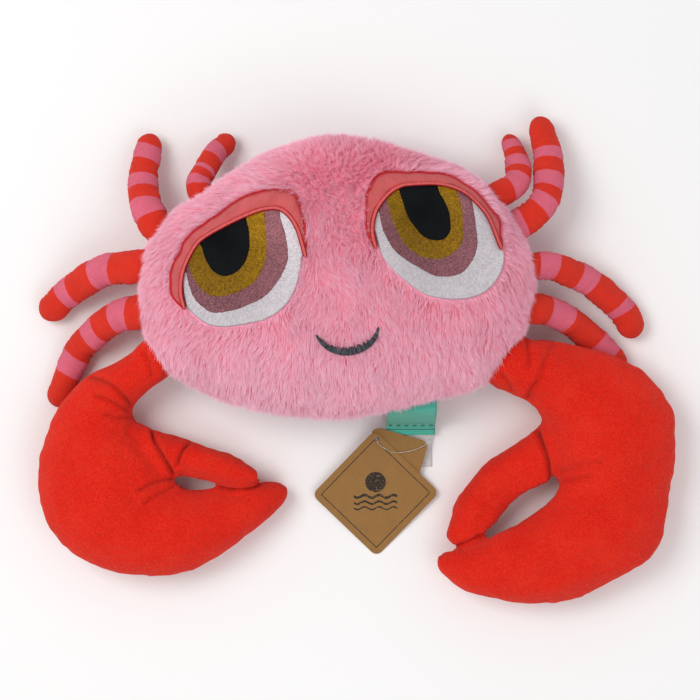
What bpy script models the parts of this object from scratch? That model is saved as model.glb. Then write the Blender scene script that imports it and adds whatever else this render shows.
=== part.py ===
# Plush crab, lying on its back with its face up. +X is the viewer's right, +Y the crab's top, +Z up.
# The origin is the middle of the flat back, on the surface that it lies on.

import math

import bpy
import numpy as np

MM = 0.001

# Body: a stuffed cushion with one seam round its side
BODY_WIDTH = 0.280
BODY_LENGTH = 0.199
BODY_THICKNESS = 0.105
SEAM_HEIGHT = 0.042  # the side seam, above the surface that the crab lies on
BACK_FLAT = 0.62  # share of the outline that rests flat
DOME_POWER = 2.4  # higher is a fuller dome with steeper sides
BODY_OUTLINE = (
    (1.00, -0.04), (0.96, -0.34), (0.86, -0.57), (0.71, -0.78), (0.46, -0.88), (0.21, -0.965),
    (-0.01, -1.0), (-0.26, -0.975), (-0.51, -0.905), (-0.735, -0.765), (-0.89, -0.62), (-0.97, -0.41),
    (-1.0, -0.09), (-0.96, 0.21), (-0.835, 0.45), (-0.635, 0.645), (-0.435, 0.825), (-0.235, 0.945),
    (-0.035, 1.0), (0.19, 0.965), (0.415, 0.875), (0.635, 0.765), (0.815, 0.555), (0.95, 0.26),
)  # in half widths and half lengths

# Gaps
SEW_GAP = 0.0003  # between a piece and what it is sewn to
TRIM_LIFT = 0.0005  # of the face trim above the fur's surface, which is in flat facets

# Claws
CLAW_THICKNESS = 0.054
PALM_WIDTH = 0.086  # the width at which a claw has its full thickness

# Legs
LEG_FLATNESS = 0.82  # height over width

# Eyes and mouth
FIELD_THICKNESS = 0.0004  # one layer of embroidery
FIELD_GAP = 0.0005  # between layers, which are in flat facets too
LID_THICKNESS = 0.0042
LID_EDGE = 0.0008  # thickness of the lid where it is sewn down
STITCH_WIDTH = 0.0024
STITCH_HEIGHT = 0.0018
MOUTH_WIDTH = 0.0038
MOUTH_THICKNESS = 0.0014

# Labels and tag
LABEL_ANGLE = -60  # degrees round the body from +X, where the labels leave the seam
WOVEN_LABEL_WIDTH = 0.0350
CARE_LABEL_WIDTH = 0.0310
LABEL_THICKNESS = 0.0006
CARD_THICKNESS = 0.0006
CARD_SIDE = 0.0645
BACK_CARD_WIDTH = 0.0410
BACK_CARD_LENGTH = 0.0655
CARD_CORNER = 0.0050
CARD_SLOPE = 0.10  # the cards lean on the label, so their upper corner is raised
CARD_HOLE = 0.0040
STRING_DIAMETER = 0.0006

# A leg: where it leaves the body in degrees, its path from there in mm with the share of the drop still to
# go, its widths at the root and near the tip in mm, and the ends of its stripes along it in mm
LEGS = {
    "leg_left_1": dict(
        angle=164,
        path=((14, -13, 1), (0, -1, 1), (-5, 6, 0.95), (-9, 15, 0.8), (-12, 34, 0.42), (-10, 51, 0.18),
              (-7, 67, 0.06)),
        widths=(24.5, 20.5),
        stripes=(8, 21, 32, 43, 56, 69),
    ),
    "leg_left_2": dict(
        angle=148,
        path=((9, -18, 1), (0, 0, 1), (-1, 6, 0.9), (1, 12, 0.76), (9, 28, 0.36), (15, 35, 0.16),
              (20, 42, 0.05)),
        widths=(18.5, 16.8),
        stripes=(3, 9, 16, 20, 32, 43),
    ),
    "leg_left_3": dict(
        angle=177,
        path=((20, 2, 1), (-1, 0, 1), (-15, -1, 0.84), (-29, -4, 0.6), (-53, -18, 0.14),
              (-63, -27, 0.03), (-72, -35, 0)),
        widths=(25, 22.5),
        stripes=(18, 35, 57, 68),
    ),
    "leg_left_4": dict(
        angle=190,
        path=((24, 5, 1), (1, 0, 1), (-12, -2, 0.8), (-25, -9, 0.54), (-36, -18, 0.26),
              (-46, -29, 0.08), (-57, -53, 0), (-62, -67, 0)),
        widths=(25, 20),
        stripes=(6, 21, 36, 49, 67, 82),
    ),
    "leg_right_1": dict(
        angle=27,
        path=((-12, -6, 1), (2, 1, 1), (9, 5, 0.92), (14, 10, 0.82), (15.5, 18, 0.66), (14, 29, 0.36),
              (9, 45, 0.08)),
        widths=(18.5, 17),
        stripes=(7, 20, 26, 37, 46, 56),
    ),
    "leg_right_2": dict(
        angle=16,
        path=((-15, -10, 1), (0, 0, 1), (10, 7, 0.98), (17, 16, 0.92), (21, 27, 0.78),
              (21.5, 51, 0.42), (15, 78, 0.16)),
        widths=(22.5, 22.5),
        stripes=(0.1, 12, 24, 36, 46, 60, 69),
    ),
    "leg_right_3": dict(
        angle=3,
        path=((-21, -1, 1), (-2, 0, 1), (12, 0, 0.88), (25, -4, 0.68), (40, -11, 0.42),
              (63, -29, 0.07), (75, -49, 0)),
        widths=(20.5, 22.5),
        stripes=(0.1, 15, 35, 49, 74, 82),
    ),
    "leg_right_4": dict(
        angle=351,
        path=((-21, 4, 1), (-2, 0, 1), (10, -2, 0.8), (23, -7, 0.58), (34, -14, 0.34), (58, -35, 0.03),
              (64, -45, 0)),
        widths=(23, 20.5),
        stripes=(11, 31, 60, 76),
    ),
}

# A claw: where it leaves the body in degrees, then pairs of points on its two edges in mm from the middle
# of its root, with the share of the drop still to go. The finger lies beside the long pincer.
CLAWS = {
    "claw_left": dict(
        angle=-155,
        pincer=(
            ((14, 32), (34, 6), 1.0), ((-4, 23), (19, -5), 1.0), ((-19, 8), (7, -12), 0.92),
            ((-39, -3), (-4, -21), 0.7), ((-57, -13), (-12, -29), 0.4), ((-75, -37), (-16, -41), 0.12),
            ((-86, -74), (-2, -59), 0), ((-81, -113), (11, -82), 0), ((-57, -140), (19, -89), 0),
            ((-19, -153), (30, -91), 0), ((13, -153), (41, -90), 0), ((41, -142), (55, -88), 0),
            ((65, -125), (69, -85.5), 0), ((78, -114), (80, -84), 0), ((89, -103), (90, -87), 0),
        ),
        finger=(
            ((-37, -45), (-16, -84), 0), ((-16, -41), (6, -80), 0.1), ((-5, -46), (15, -81), 0.2),
            ((9, -50), (23, -82), 0.32), ((23, -55), (35, -84), 0.42), ((38, -59), (45, -86), 0.52),
            ((49, -62), (55, -87.5), 0.6), ((60, -68), (63, -87.5), 0.66), ((69, -74), (70, -84.5), 0.7),
        ),
    ),
    "claw_right": dict(
        angle=-26,
        pincer=(
            ((-22, 42), (-42, 6), 1.0), ((-5, 25), (-26, -12), 1.0), ((13, 19), (-14, -18), 0.92),
            ((37, 16), (4, -25), 0.72), ((66, 9), (17, -34), 0.4), ((96, -4), (23, -43), 0.12),
            ((119, -32), (28, -64), 0), ((122, -61), (35, -84), 0), ((116, -102), (35, -92), 0),
            ((109, -135), (30, -99), 0), ((83, -154), (18, -109), 0), ((43, -173), (5, -118), 0.04),
            ((5, -174), (-8, -124), 0.1), ((-23, -168), (-19, -129), 0.16),
            ((-37, -163), (-32, -133.5), 0.22), ((-46, -154), (-41, -138), 0.28),
        ),
        finger=(
            ((38, -30), (59, -85), 0), ((23, -44), (35, -82), 0), ((9, -56), (24, -84), 0),
            ((-4, -66), (13, -90), 0), ((-15, -72), (4, -97), 0), ((-27, -85), (-2, -103), 0),
            ((-37, -100), (-8, -111), 0), ((-41, -113), (-14, -120), 0), ((-42, -126), (-18, -126.5), 0),
        ),
    ),
}

# An eye: its middle in half widths and half lengths of the body, then the lid's two edges in mm from there.
# Each field of embroidery is an ellipse, as its middle, half width, half length and turn in degrees.
EYES = {
    "left": dict(
        place=(-0.457, 0.070),
        lid_outer=((-39, -30), (-47, -22), (-49, -12), (-48, -3), (-43, 8), (-36, 20), (-20, 31),
                   (-7, 41), (6, 47.5), (20, 50), (31, 49.5), (38, 43), (41, 32), (42.5, 20), (43, 10),
                   (43, 4)),
        lid_inner=((-39, -30), (-41.5, -20), (-41, -9), (-38, 1), (-32, 12), (-26, 18), (-12, 26),
                   (3, 33), (15, 37), (25, 37), (32, 32), (37, 24), (40, 15), (43, 4)),
        fields=(("white", (0, -6.5), 33.5, 43, -62), ("mauve", (-3.5, 5), 31.5, 40, -37),
                ("gold", (-10.5, 14), 28, 36.5, -13), ("pupil", (-11, 17.5), 16.7, 26.5, 7)),
    ),
    "right": dict(
        place=(0.493, 0.231),
        lid_outer=((-42, -6), (-48, 6), (-49, 17), (-48.5, 29), (-45, 40), (-37, 46), (-27, 46),
                   (-8, 46.5), (4, 45.5), (13, 43), (20, 39), (27, 32.5), (35, 25), (40, 18), (42.5, 9),
                   (43.5, 0), (43.5, -6)),
        lid_inner=((-42, -6), (-44.5, 4), (-44, 13), (-41, 22), (-34, 31), (-27, 36), (-20, 38),
                   (-2, 39), (10, 37), (19, 33), (26, 27), (33, 19), (37, 11), (40, 3), (43.5, -6)),
        fields=(("white", (-0.5, -3.5), 32.5, 46.5, 62), ("mauve", (-6.5, 13), 30.7, 40, 33),
                ("gold", (-8.5, 19), 24.3, 34, 25), ("pupil", (-9, 21.5), 13.9, 24.8, 28)),
    ),
}

MOUTH_PLACE = (0.05, -0.452)
MOUTH_CURVE = ((-21, 5), (-16.5, -0.5), (-10.5, -5), (-2.5, -7.2), (6, -6.3), (14, -2), (19, 5),
               (21.3, 9.5))

# A label's path: mm out from the seam, and the share of the drop from there to its rest height still to go
WOVEN_LABEL_PATH = ((-14, 1), (0, 1), (3.5, 0.943), (7, 0.744), (10, 0.46), (13, 0.176), (17, 0.023), (21, 0))
WOVEN_LABEL_REST = 0.0068  # on the cards' upper corner
CARE_LABEL_PATH = (
    (-14, 1), (0, 1), (2.5, 0.955), (5.8, 0.782), (8.8, 0.535), (12, 0.277), (16.5, 0.144), (21, 0.099),
    (27, 0.03), (33, 0.005), (44, 0),
)
CARE_LABEL_REST = 0.0004
CARE_LABEL_BELOW = 0.0012  # it leaves the seam this far under the woven label
FRONT_CARD_PLACE = (-0.0250, -0.0631)
FRONT_CARD_TURN = 46
BACK_CARD_PLACE = (-0.0158, -0.0520)
BACK_CARD_TURN = -16
HOLE_PLACE = (-0.0241, -0.0240)
STRING_ROUTE = (
    (13.2, -23.4, 4.4), (13.7, -24.4, 6.4), (12.2, -26.8, 8.3), (6, -30.4, 8.6), (-2, -32.8, 8.7),
    (-9, -33.6, 8.7),
    (-15, -32.6, 8.8), (-20, -29.8, 9.1), (-23, -27, 9.3), (-24.2, -24.7, 8.6), (-23.9, -22.9, 6.9),
    (-22, -21.5, 5.4), (-19.3, -21.3, 4.9), (-16.8, -22, 4.9), (-14, -23.6, 4.5),
)  # in mm from the labels' place on the seam, up from the surface below

COLOURS = {
    "fur_pink": ((0.80, 0.26, 0.37), 0.95),
    "fleece_red": ((0.75, 0.03, 0.015), 0.9),
    "jersey_red": ((0.70, 0.045, 0.022), 0.85),
    "jersey_pink": ((0.75, 0.16, 0.26), 0.85),
    "thread_white": ((0.76, 0.74, 0.78), 0.45),
    "thread_mauve": ((0.31, 0.11, 0.14), 0.45),
    "thread_gold": ((0.33, 0.17, 0.008), 0.42),
    "thread_black": ((0.007, 0.008, 0.010), 0.5),
    "satin_coral": ((0.75, 0.13, 0.13), 0.5),
    "thread_red": ((0.60, 0.03, 0.035), 0.5),
    "thread_grey": ((0.075, 0.080, 0.10), 0.5),
    "label_teal": ((0.07, 0.49, 0.38), 0.6),
    "label_white": ((0.80, 0.80, 0.78), 0.6),
    "kraft_card": ((0.39, 0.20, 0.085), 0.85),
    "clear_nylon": ((0.75, 0.75, 0.72), 0.25),
}


def clear_scene():
    for old in list(bpy.data.objects):
        bpy.data.objects.remove(old, do_unlink=True)


def material(name):
    """A plain Principled material in the part's own colour."""
    made = bpy.data.materials.get(name)
    if made is None:
        colour, roughness = COLOURS[name]
        made = bpy.data.materials.new(name)
        made.use_nodes = True
        shader = made.node_tree.nodes["Principled BSDF"]
        shader.inputs["Base Color"].default_value = (*colour, 1)
        shader.inputs["Roughness"].default_value = roughness
        shader.inputs["Metallic"].default_value = 0
        made.diffuse_color = (*colour, 1)
    return made


def catmull_rom(points, closed=False, steps=12):
    """A smooth curve through the points, as many short steps."""
    points = np.asarray(points, float)
    if closed:
        before, after, last = points[-1:], points[:2], len(points)
    else:
        before, after, last = 2 * points[:1] - points[1:2], 2 * points[-1:] - points[-2:-1], len(points) - 1
    p = np.concatenate([before, points, after])
    t = (np.arange(steps) / steps)[None, :, None]
    a, b, c, d = (p[k : k + last, None] for k in range(4))
    curve = 0.5 * (2 * b + (c - a) * t + (2 * a - 5 * b + 4 * c - d) * t**2 + (3 * b - a - 3 * c + d) * t**3)
    curve = curve.reshape(-1, points.shape[1])
    return curve if closed else np.concatenate([curve, points[-1:]])


def along(curve, places):
    """Points on a curve at these lengths from its start."""
    steps = np.linalg.norm(np.diff(curve, axis=0), axis=1)
    lengths = np.concatenate([[0], np.cumsum(steps)])
    return np.stack([np.interp(places, lengths, column) for column in curve.T], axis=1)


def length_of(curve):
    return float(np.linalg.norm(np.diff(curve, axis=0), axis=1).sum())


def evenly(points, count):
    curve = catmull_rom(points)
    return along(curve, np.linspace(0, length_of(curve), count))


HALF_BODY = np.array([BODY_WIDTH, BODY_LENGTH]) / 2
outline = catmull_rom(np.array(BODY_OUTLINE) * HALF_BODY, closed=True)
outline_angles = np.mod(np.arctan2(outline[:, 1], outline[:, 0]), math.tau)
outline_order = np.argsort(outline_angles)
outline_angles = outline_angles[outline_order]
outline_radii = np.linalg.norm(outline, axis=1)[outline_order]


def edge_radius(angles):
    return np.interp(np.mod(angles, math.tau), outline_angles, outline_radii, period=math.tau)


def edge_point(degrees):
    """The point of the body's side seam in this direction, seen from above."""
    angle = math.radians(degrees)
    return float(edge_radius(angle)) * np.array([math.cos(angle), math.sin(angle)])


def face_height(x, y):
    """Height of the body's upper surface: a dome over the outline."""
    share = np.hypot(x, y) / edge_radius(np.arctan2(y, x))
    rise = np.clip(1 - np.clip(share, 0, 1) ** DOME_POWER, 0, 1) ** 0.5
    return SEAM_HEIGHT + (BODY_THICKNESS - SEAM_HEIGHT) * rise


def skin(name, rings, colours, ring_colour=None, smooth=True):
    """One closed surface through rings of points, with a pole at each end."""
    rings = np.asarray(rings, float)
    count, around = rings.shape[:2]
    poles = [rings[0].mean(axis=0), rings[-1].mean(axis=0)]
    points = np.concatenate([rings.reshape(-1, 3), poles])
    faces = []
    slots = []
    for i in range(count - 1):
        for j in range(around):
            k = (j + 1) % around
            faces.append((i * around + j, i * around + k, (i + 1) * around + k, (i + 1) * around + j))
            slots.append(ring_colour[i] if ring_colour else 0)
    low, high = count * around, count * around + 1
    last = (count - 1) * around
    for j in range(around):
        k = (j + 1) % around
        faces.append((low, k, j))
        faces.append((high, last + j, last + k))
        slots += [slots[0], ring_colour[-1] if ring_colour else 0]
    corners = points[[face[:3] for face in faces]]
    mesh = bpy.data.meshes.new(name)
    if np.linalg.det(corners - points.mean(axis=0)).sum() < 0:
        faces = [face[::-1] for face in faces]
    mesh.from_pydata(points.tolist(), [], faces)
    for colour in colours:
        mesh.materials.append(material(colour))
    mesh.polygons.foreach_set("material_index", slots)
    mesh.polygons.foreach_set("use_smooth", [smooth] * len(faces))
    made = bpy.data.objects.new(name, mesh)
    bpy.context.scene.collection.objects.link(made)
    return made


def hide_helper(helper):
    helper.hide_render = True
    helper.display_type = "WIRE"
    return helper


def combine(target, other, operation):
    """A Boolean with the exact solver."""
    modifier = target.modifiers.new(operation.lower(), "BOOLEAN")
    modifier.operation = operation
    modifier.solver = "EXACT"
    modifier.object = other


def body_rings(grow=0.0):
    """The cushion's rings from the top of the face over the seam to the flat back."""
    angles = np.linspace(0, math.tau, 48, endpoint=False)
    radii = edge_radius(angles) + grow
    rise = BODY_THICKNESS - SEAM_HEIGHT + grow
    shares = [0.16, 0.32, 0.47, 0.61, 0.73, 0.83, 0.91, 0.965, 0.992, 1.0]
    heights = [SEAM_HEIGHT + rise * math.sqrt(1 - share**DOME_POWER) for share in shares]
    for turn in (22, 42, 62, 90):
        shares.append(BACK_FLAT + (1 - BACK_FLAT) * math.cos(math.radians(turn)))
        heights.append(SEAM_HEIGHT - (SEAM_HEIGHT + grow) * math.sin(math.radians(turn)))
    return [
        np.stack([share * radii * np.cos(angles), share * radii * np.sin(angles),
        np.full(48, height)], axis=1)
        for share, height in zip(shares, heights)
    ]


def tube_rings(centres, half_widths, half_heights, around):
    """Oval rings square to a path, each with its own half width and half height."""
    tangents = np.gradient(centres, axis=0)
    tangents /= np.linalg.norm(tangents, axis=1, keepdims=True)
    sides = np.cross(tangents, (0, 0, 1))
    sides /= np.linalg.norm(sides, axis=1, keepdims=True)
    ups = np.cross(sides, tangents)
    turn = np.linspace(0, math.tau, around, endpoint=False)[None, :, None]
    across = sides[:, None] * np.cos(turn) * half_widths[:, None, None]
    return centres[:, None] + across + ups[:, None] * np.sin(turn) * half_heights[:, None, None]


def make_leg(name, leg, body_cutter):
    """A stuffed tube in two colours, sewn into the side seam and rounded at its tip."""
    root = edge_point(leg["angle"])
    rest = leg["widths"][1] * MM * LEG_FLATNESS / 2
    steps = np.array(leg["path"])
    path = np.column_stack([root + steps[:, :2] * MM, rest + (SEAM_HEIGHT - rest) * steps[:, 2]])
    curve = catmull_rom(path)
    inside = length_of(catmull_rom(path[:2]))
    total = length_of(curve)
    root_half, tip_half = (width * MM / 2 for width in leg["widths"])
    ends = [0.0] + [inside + stripe * MM for stripe in leg["stripes"]] + [total - tip_half]
    places = [0.0]
    colours = []
    for stripe, (start, end) in enumerate(zip(ends, ends[1:])):
        if end <= start:
            continue
        parts = 2 if end - start > 0.012 else 1
        places += list(np.linspace(start, end, parts + 1)[1:])
        colours += [stripe % 2] * parts
    tip_colour = len(leg["stripes"]) % 2
    for share in (0.5, 0.8, 0.96):
        places.append(total - tip_half + share * tip_half)
        colours.append(tip_colour)
    places = np.array(places)
    half_widths = np.interp(places, [inside, total - tip_half], [root_half, tip_half])
    past = np.clip((places - (total - tip_half)) / tip_half, 0, 1)
    half_widths *= np.sqrt(1 - past**2)
    rings = tube_rings(along(curve, places), half_widths, half_widths * LEG_FLATNESS, 12)
    made = skin(name, rings, ["jersey_red", "jersey_pink"], colours)
    combine(made, body_cutter, "DIFFERENCE")
    return made


def claw_half_height(half_widths):
    """A narrower place is thinner, by the square root of its width."""
    return CLAW_THICKNESS / 2 * np.clip(2 * half_widths / PALM_WIDTH, 0, 1) ** 0.5


def claw_part_rings(root, stations, count, grow=0.0):
    """Oval rings between the paired edge points, from the seam's height down to the surface below."""
    pairs = np.array([(*first, *second) for first, second, _ in stations]) * MM
    drops = np.array([drop for _, _, drop in stations])
    resting = claw_half_height(np.linalg.norm(pairs[:, :2] - pairs[:, 2:], axis=1) / 2)
    curve = evenly(np.column_stack([pairs, resting + (SEAM_HEIGHT - resting) * drops]), count)
    first = curve[:, :2] + root
    second = curve[:, 2:4] + root
    half_widths = np.linalg.norm(second - first, axis=1) / 2
    half_heights = claw_half_height(half_widths)
    heights = np.maximum(curve[:, 4], half_heights)
    middles = (first + second) / 2
    across = (first - second) / (2 * half_widths[:, None])
    turn = np.linspace(0, math.tau, 16, endpoint=False)[None, :]
    out = np.cos(turn) * (half_widths[:, None] + grow)
    up = np.sin(turn) * (half_heights[:, None] + grow)
    x = middles[:, :1] + across[:, :1] * out
    y = middles[:, 1:] + across[:, 1:] * out
    return np.stack([x, y, heights[:, None] + up], axis=2)


def rounded_end(rings, reach):
    """Two more rings past the last one, so that the end is a soft nose."""
    full = rings[-1]
    middle = full.mean(axis=0)
    ahead = middle - rings[-2].mean(axis=0)
    ahead /= np.linalg.norm(ahead)
    for shrink, share in ((0.8, 0.6), (0.4, 0.95)):
        extra = middle + (full - middle) * shrink + ahead * reach * share
        rings = np.concatenate([rings, [extra]])
    return rings


def make_claw(name, claw, body_cutter):
    """The arm and long pincer with the finger joined on, and a grown copy that cuts the neighbours."""
    root = edge_point(claw["angle"])
    made = []
    for part_name, grow in ((name, 0.0), (name + "_cutter", SEW_GAP)):
        pincer = rounded_end(claw_part_rings(root, claw["pincer"], 26, grow), 0.005)
        finger = rounded_end(claw_part_rings(root, claw["finger"], 12, grow), 0.005)
        whole = skin(part_name, pincer, ["fleece_red"])
        finger_part = hide_helper(skin(part_name + "_finger", finger, ["fleece_red"]))
        combine(whole, finger_part, "UNION")
        made.append(whole)
    combine(made[0], body_cutter, "DIFFERENCE")
    return made[0], hide_helper(made[1])


def ribbon(name, first, second, lift, thickness, colour, edge=0.5, across=5):
    """A strip laid on the face between two edge curves, thickest along its middle."""
    shares = np.linspace(0, 1, across)
    puff = edge + (1 - edge) * np.sqrt(np.clip(1 - (2 * shares - 1) ** 2, 0, 1))
    upper = first[:, None] + (second - first)[:, None] * shares[None, :, None]
    lower = upper[:, ::-1]
    plan = np.concatenate([upper, lower], axis=1)
    height = face_height(plan[..., 0], plan[..., 1]) + lift
    height[:, :across] += thickness * puff
    return skin(name, np.concatenate([plan, height[..., None]], axis=2), [colour])


def offset_curve(curve, distance):
    """The curve moved to its left."""
    tangents = np.gradient(curve, axis=0)
    tangents /= np.linalg.norm(tangents, axis=1, keepdims=True)
    return curve + distance * np.stack([-tangents[:, 1], tangents[:, 0]], axis=1)


def ellipse_edge(middle, half_width, half_length, turn, barrier, clearance, count=26):
    """Points round an ellipse, pulled in to its middle where they would come too near the barrier curve."""
    angles = np.linspace(0, math.tau, count, endpoint=False)
    flat = np.stack([half_width * np.cos(angles), half_length * np.sin(angles)], axis=1)
    cosine, sine = math.cos(math.radians(turn)), math.sin(math.radians(turn))
    spokes = flat @ np.array([[cosine, sine], [-sine, cosine]])
    shares = np.linspace(0, 1, 61)
    tried = middle + spokes[:, None] * shares[None, :, None]
    near = np.linalg.norm(tried[:, :, None] - barrier[None, None], axis=3).min(axis=2) < clearance
    reach = np.where(near.any(axis=1), shares[np.maximum(near.argmax(axis=1) - 1, 0)], 1.0)
    return middle + spokes * reach[:, None]


def make_field(name, middle, edge, lift, colour):
    """One thin layer of embroidery, following the face."""
    shares = (0.28, 0.55, 0.79, 1.0)
    plan = [middle + (edge - middle) * share for share in shares]
    rings = []
    for extra, order in ((0, plan), (FIELD_THICKNESS, plan[::-1])):
        for ring in order:
            height = face_height(ring[:, 0], ring[:, 1]) + lift + extra
            rings.append(np.column_stack([ring, height]))
    return skin(name, rings, [colour])


def make_eye(side, eye):
    """The lid, the stitching on its two edges, and the four fields of embroidery under it."""
    middle = np.array(eye["place"]) * HALF_BODY
    outer = evenly(np.array(eye["lid_outer"]) * MM + middle, 27)
    inner = evenly(np.array(eye["lid_inner"]) * MM + middle, 27)
    trim = slice(1, -1)
    lid_edge_share = LID_EDGE / LID_THICKNESS
    lid = (outer[trim], inner[trim], TRIM_LIFT, LID_THICKNESS)
    ribbon("eyelid_" + side, *lid, "satin_coral", lid_edge_share)
    near, far = SEW_GAP, SEW_GAP + STITCH_WIDTH
    for edge_name, curve, sign in (("outer", outer, 1), ("inner", inner, -1)):
        ribbon(
            "lid_" + edge_name + "_stitching_" + side,
            offset_curve(curve, sign * near)[trim],
            offset_curve(curve, sign * far)[trim],
            TRIM_LIFT,
            STITCH_HEIGHT,
            "thread_red",
            across=4,
        )
    barrier = along(inner, np.linspace(0, length_of(inner), 160))
    clearance = far + SEW_GAP
    for layer, (field, place, half_width, half_length, turn) in enumerate(eye["fields"]):
        centre = middle + np.array(place) * MM
        edge = ellipse_edge(centre, half_width * MM, half_length * MM, turn, barrier, clearance)
        lift = TRIM_LIFT + layer * (FIELD_THICKNESS + FIELD_GAP)
        colour = "thread_black" if field == "pupil" else "thread_" + field
        make_field("eye_" + field + "_" + side, centre, edge, lift, colour)


def make_mouth():
    """A tapered line of grey stitching."""
    middle = np.array(MOUTH_PLACE) * HALF_BODY
    curve = evenly(np.array(MOUTH_CURVE) * MM + middle, 15)
    shares = np.linspace(-1, 1, 15)
    half = MOUTH_WIDTH / 2 * (0.3 + 0.7 * np.sqrt(1 - shares**2))[:, None]
    side = offset_curve(curve, 1.0) - curve
    ribbon("mouth", curve + side * half, curve - side * half, TRIM_LIFT, MOUTH_THICKNESS, "thread_grey")


def make_label(name, path, top, rest, width, colour, body_cutter):
    """A ribbon sewn into the seam that hangs down to the height where it rests."""
    place = edge_point(LABEL_ANGLE)
    steps = np.array(path)
    route = evenly(np.column_stack([steps[:, 0] * MM, rest + (top - rest) * steps[:, 1]]), 3 * len(path))
    tangents = np.gradient(route, axis=0)
    tangents /= np.linalg.norm(tangents, axis=1, keepdims=True)
    normals = np.stack([-tangents[:, 1], tangents[:, 0]], axis=1) * LABEL_THICKNESS / 2
    rings = []
    for (out, up), (out_step, up_step) in zip(route, normals):
        ring = []
        for sign, side in ((1, -1), (1, 1), (-1, 1), (-1, -1)):
            x = place[0] + side * width / 2
            ring.append((x, place[1] - out - sign * out_step, up + sign * up_step))
        rings.append(ring)
    made = skin(name, rings, [colour], smooth=False)
    combine(made, body_cutter, "DIFFERENCE")
    return made


def card_plan(width, length, place, turn):
    """A rectangle with round corners, turned and moved to its place by the labels."""
    steps = np.radians(np.linspace(0, 90, 5))
    corner = np.stack([np.cos(steps), np.sin(steps)], axis=1) * CARD_CORNER
    loop = []
    for quarter in range(4):
        sign = np.array([(1, 1), (-1, 1), (-1, -1), (1, -1)][quarter])
        arc = corner if quarter % 2 == 0 else corner[::-1]
        loop.append(sign * (np.array([width, length]) / 2 - CARD_CORNER + arc))
    loop = np.concatenate(loop)
    cosine, sine = math.cos(math.radians(turn)), math.sin(math.radians(turn))
    return loop @ np.array([[cosine, sine], [-sine, cosine]]) + np.array(place) + edge_point(LABEL_ANGLE)


FRONT_CARD = (CARD_SIDE, CARD_SIDE, FRONT_CARD_PLACE, FRONT_CARD_TURN)
BACK_CARD = (BACK_CARD_WIDTH, BACK_CARD_LENGTH, BACK_CARD_PLACE, BACK_CARD_TURN)


def make_card(name, card, layers_over):
    """A card on the slope, which starts where the front card touches the surface, punched for the string."""
    plan = card_plan(*card)
    low = card_plan(*FRONT_CARD)[:, 1].min()
    base = CARD_SLOPE * (plan[:, 1] - low) - layers_over * (CARD_THICKNESS + SEW_GAP)
    rings = [np.column_stack([plan, base + extra]) for extra in (0, CARD_THICKNESS)]
    made = skin(name, rings, ["kraft_card"], smooth=False)
    angles = np.linspace(0, math.tau, 16, endpoint=False)
    centre = edge_point(LABEL_ANGLE) + np.array(HOLE_PLACE)
    round_hole = np.stack([np.cos(angles), np.sin(angles)], axis=1) * CARD_HOLE / 2 + centre
    punch_rings = [np.column_stack([round_hole, np.full(16, height)]) for height in (-0.005, 0.015)]
    punch = hide_helper(skin(name + "_punch", punch_rings, ["kraft_card"]))
    combine(made, punch, "DIFFERENCE")
    return made


def make_string():
    """The thin nylon loop from the care label through the cards' holes and back."""
    labels = edge_point(LABEL_ANGLE)
    route = np.array(STRING_ROUTE) * MM + np.array([labels[0], labels[1], 0])
    points = evenly(route, 60)
    curve = bpy.data.curves.new("tag_string", "CURVE")
    curve.dimensions = "3D"
    curve.bevel_depth = STRING_DIAMETER / 2
    curve.bevel_resolution = 2
    curve.use_fill_caps = True
    spline = curve.splines.new("POLY")
    spline.points.add(len(points) - 1)
    spline.points.foreach_set("co", np.column_stack([points, np.ones(len(points))]).ravel())
    curve.materials.append(material("clear_nylon"))
    made = bpy.data.objects.new("tag_string", curve)
    bpy.context.scene.collection.objects.link(made)
    return made


def build():
    clear_scene()
    skin("body", body_rings(), ["fur_pink"])
    body_cutter = hide_helper(skin("body_cutter", body_rings(SEW_GAP), ["fur_pink"]))
    claw_cutters = {name: make_claw(name, claw, body_cutter)[1] for name, claw in CLAWS.items()}
    for name, leg in LEGS.items():
        made = make_leg(name, leg, body_cutter)
        if name.endswith("_4"):
            combine(made, claw_cutters["claw_left" if "left" in name else "claw_right"], "DIFFERENCE")
    for side, eye in EYES.items():
        make_eye(side, eye)
    make_mouth()
    woven = (WOVEN_LABEL_PATH, SEAM_HEIGHT, WOVEN_LABEL_REST, WOVEN_LABEL_WIDTH)
    make_label("woven_label", *woven, "label_teal", body_cutter)
    care = (CARE_LABEL_PATH, SEAM_HEIGHT - CARE_LABEL_BELOW, CARE_LABEL_REST, CARE_LABEL_WIDTH)
    make_label("care_label", *care, "label_white", body_cutter)
    make_card("tag_back_card", BACK_CARD, 1)
    make_card("tag_front_card", FRONT_CARD, 0)
    make_string()


build()
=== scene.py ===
import math

import bpy
import numpy as np
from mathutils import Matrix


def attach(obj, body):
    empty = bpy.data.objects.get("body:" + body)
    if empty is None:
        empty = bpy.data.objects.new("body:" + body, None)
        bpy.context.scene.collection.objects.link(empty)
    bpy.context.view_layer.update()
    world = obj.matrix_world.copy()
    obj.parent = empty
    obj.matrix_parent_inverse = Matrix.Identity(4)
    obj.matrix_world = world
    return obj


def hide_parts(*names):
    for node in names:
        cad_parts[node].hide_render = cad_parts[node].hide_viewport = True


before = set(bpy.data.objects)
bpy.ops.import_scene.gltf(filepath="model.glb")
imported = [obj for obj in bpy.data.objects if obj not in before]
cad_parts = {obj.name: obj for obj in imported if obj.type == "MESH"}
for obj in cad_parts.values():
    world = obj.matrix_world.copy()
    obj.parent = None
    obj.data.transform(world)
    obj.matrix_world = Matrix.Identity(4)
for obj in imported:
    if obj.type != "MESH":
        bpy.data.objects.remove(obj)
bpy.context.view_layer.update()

# Plush crab on its back, seen from above. Metres: +X right, +Y the crab's top, +Z to the camera.
mm = 0.001
random = np.random.default_rng(41)

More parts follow.
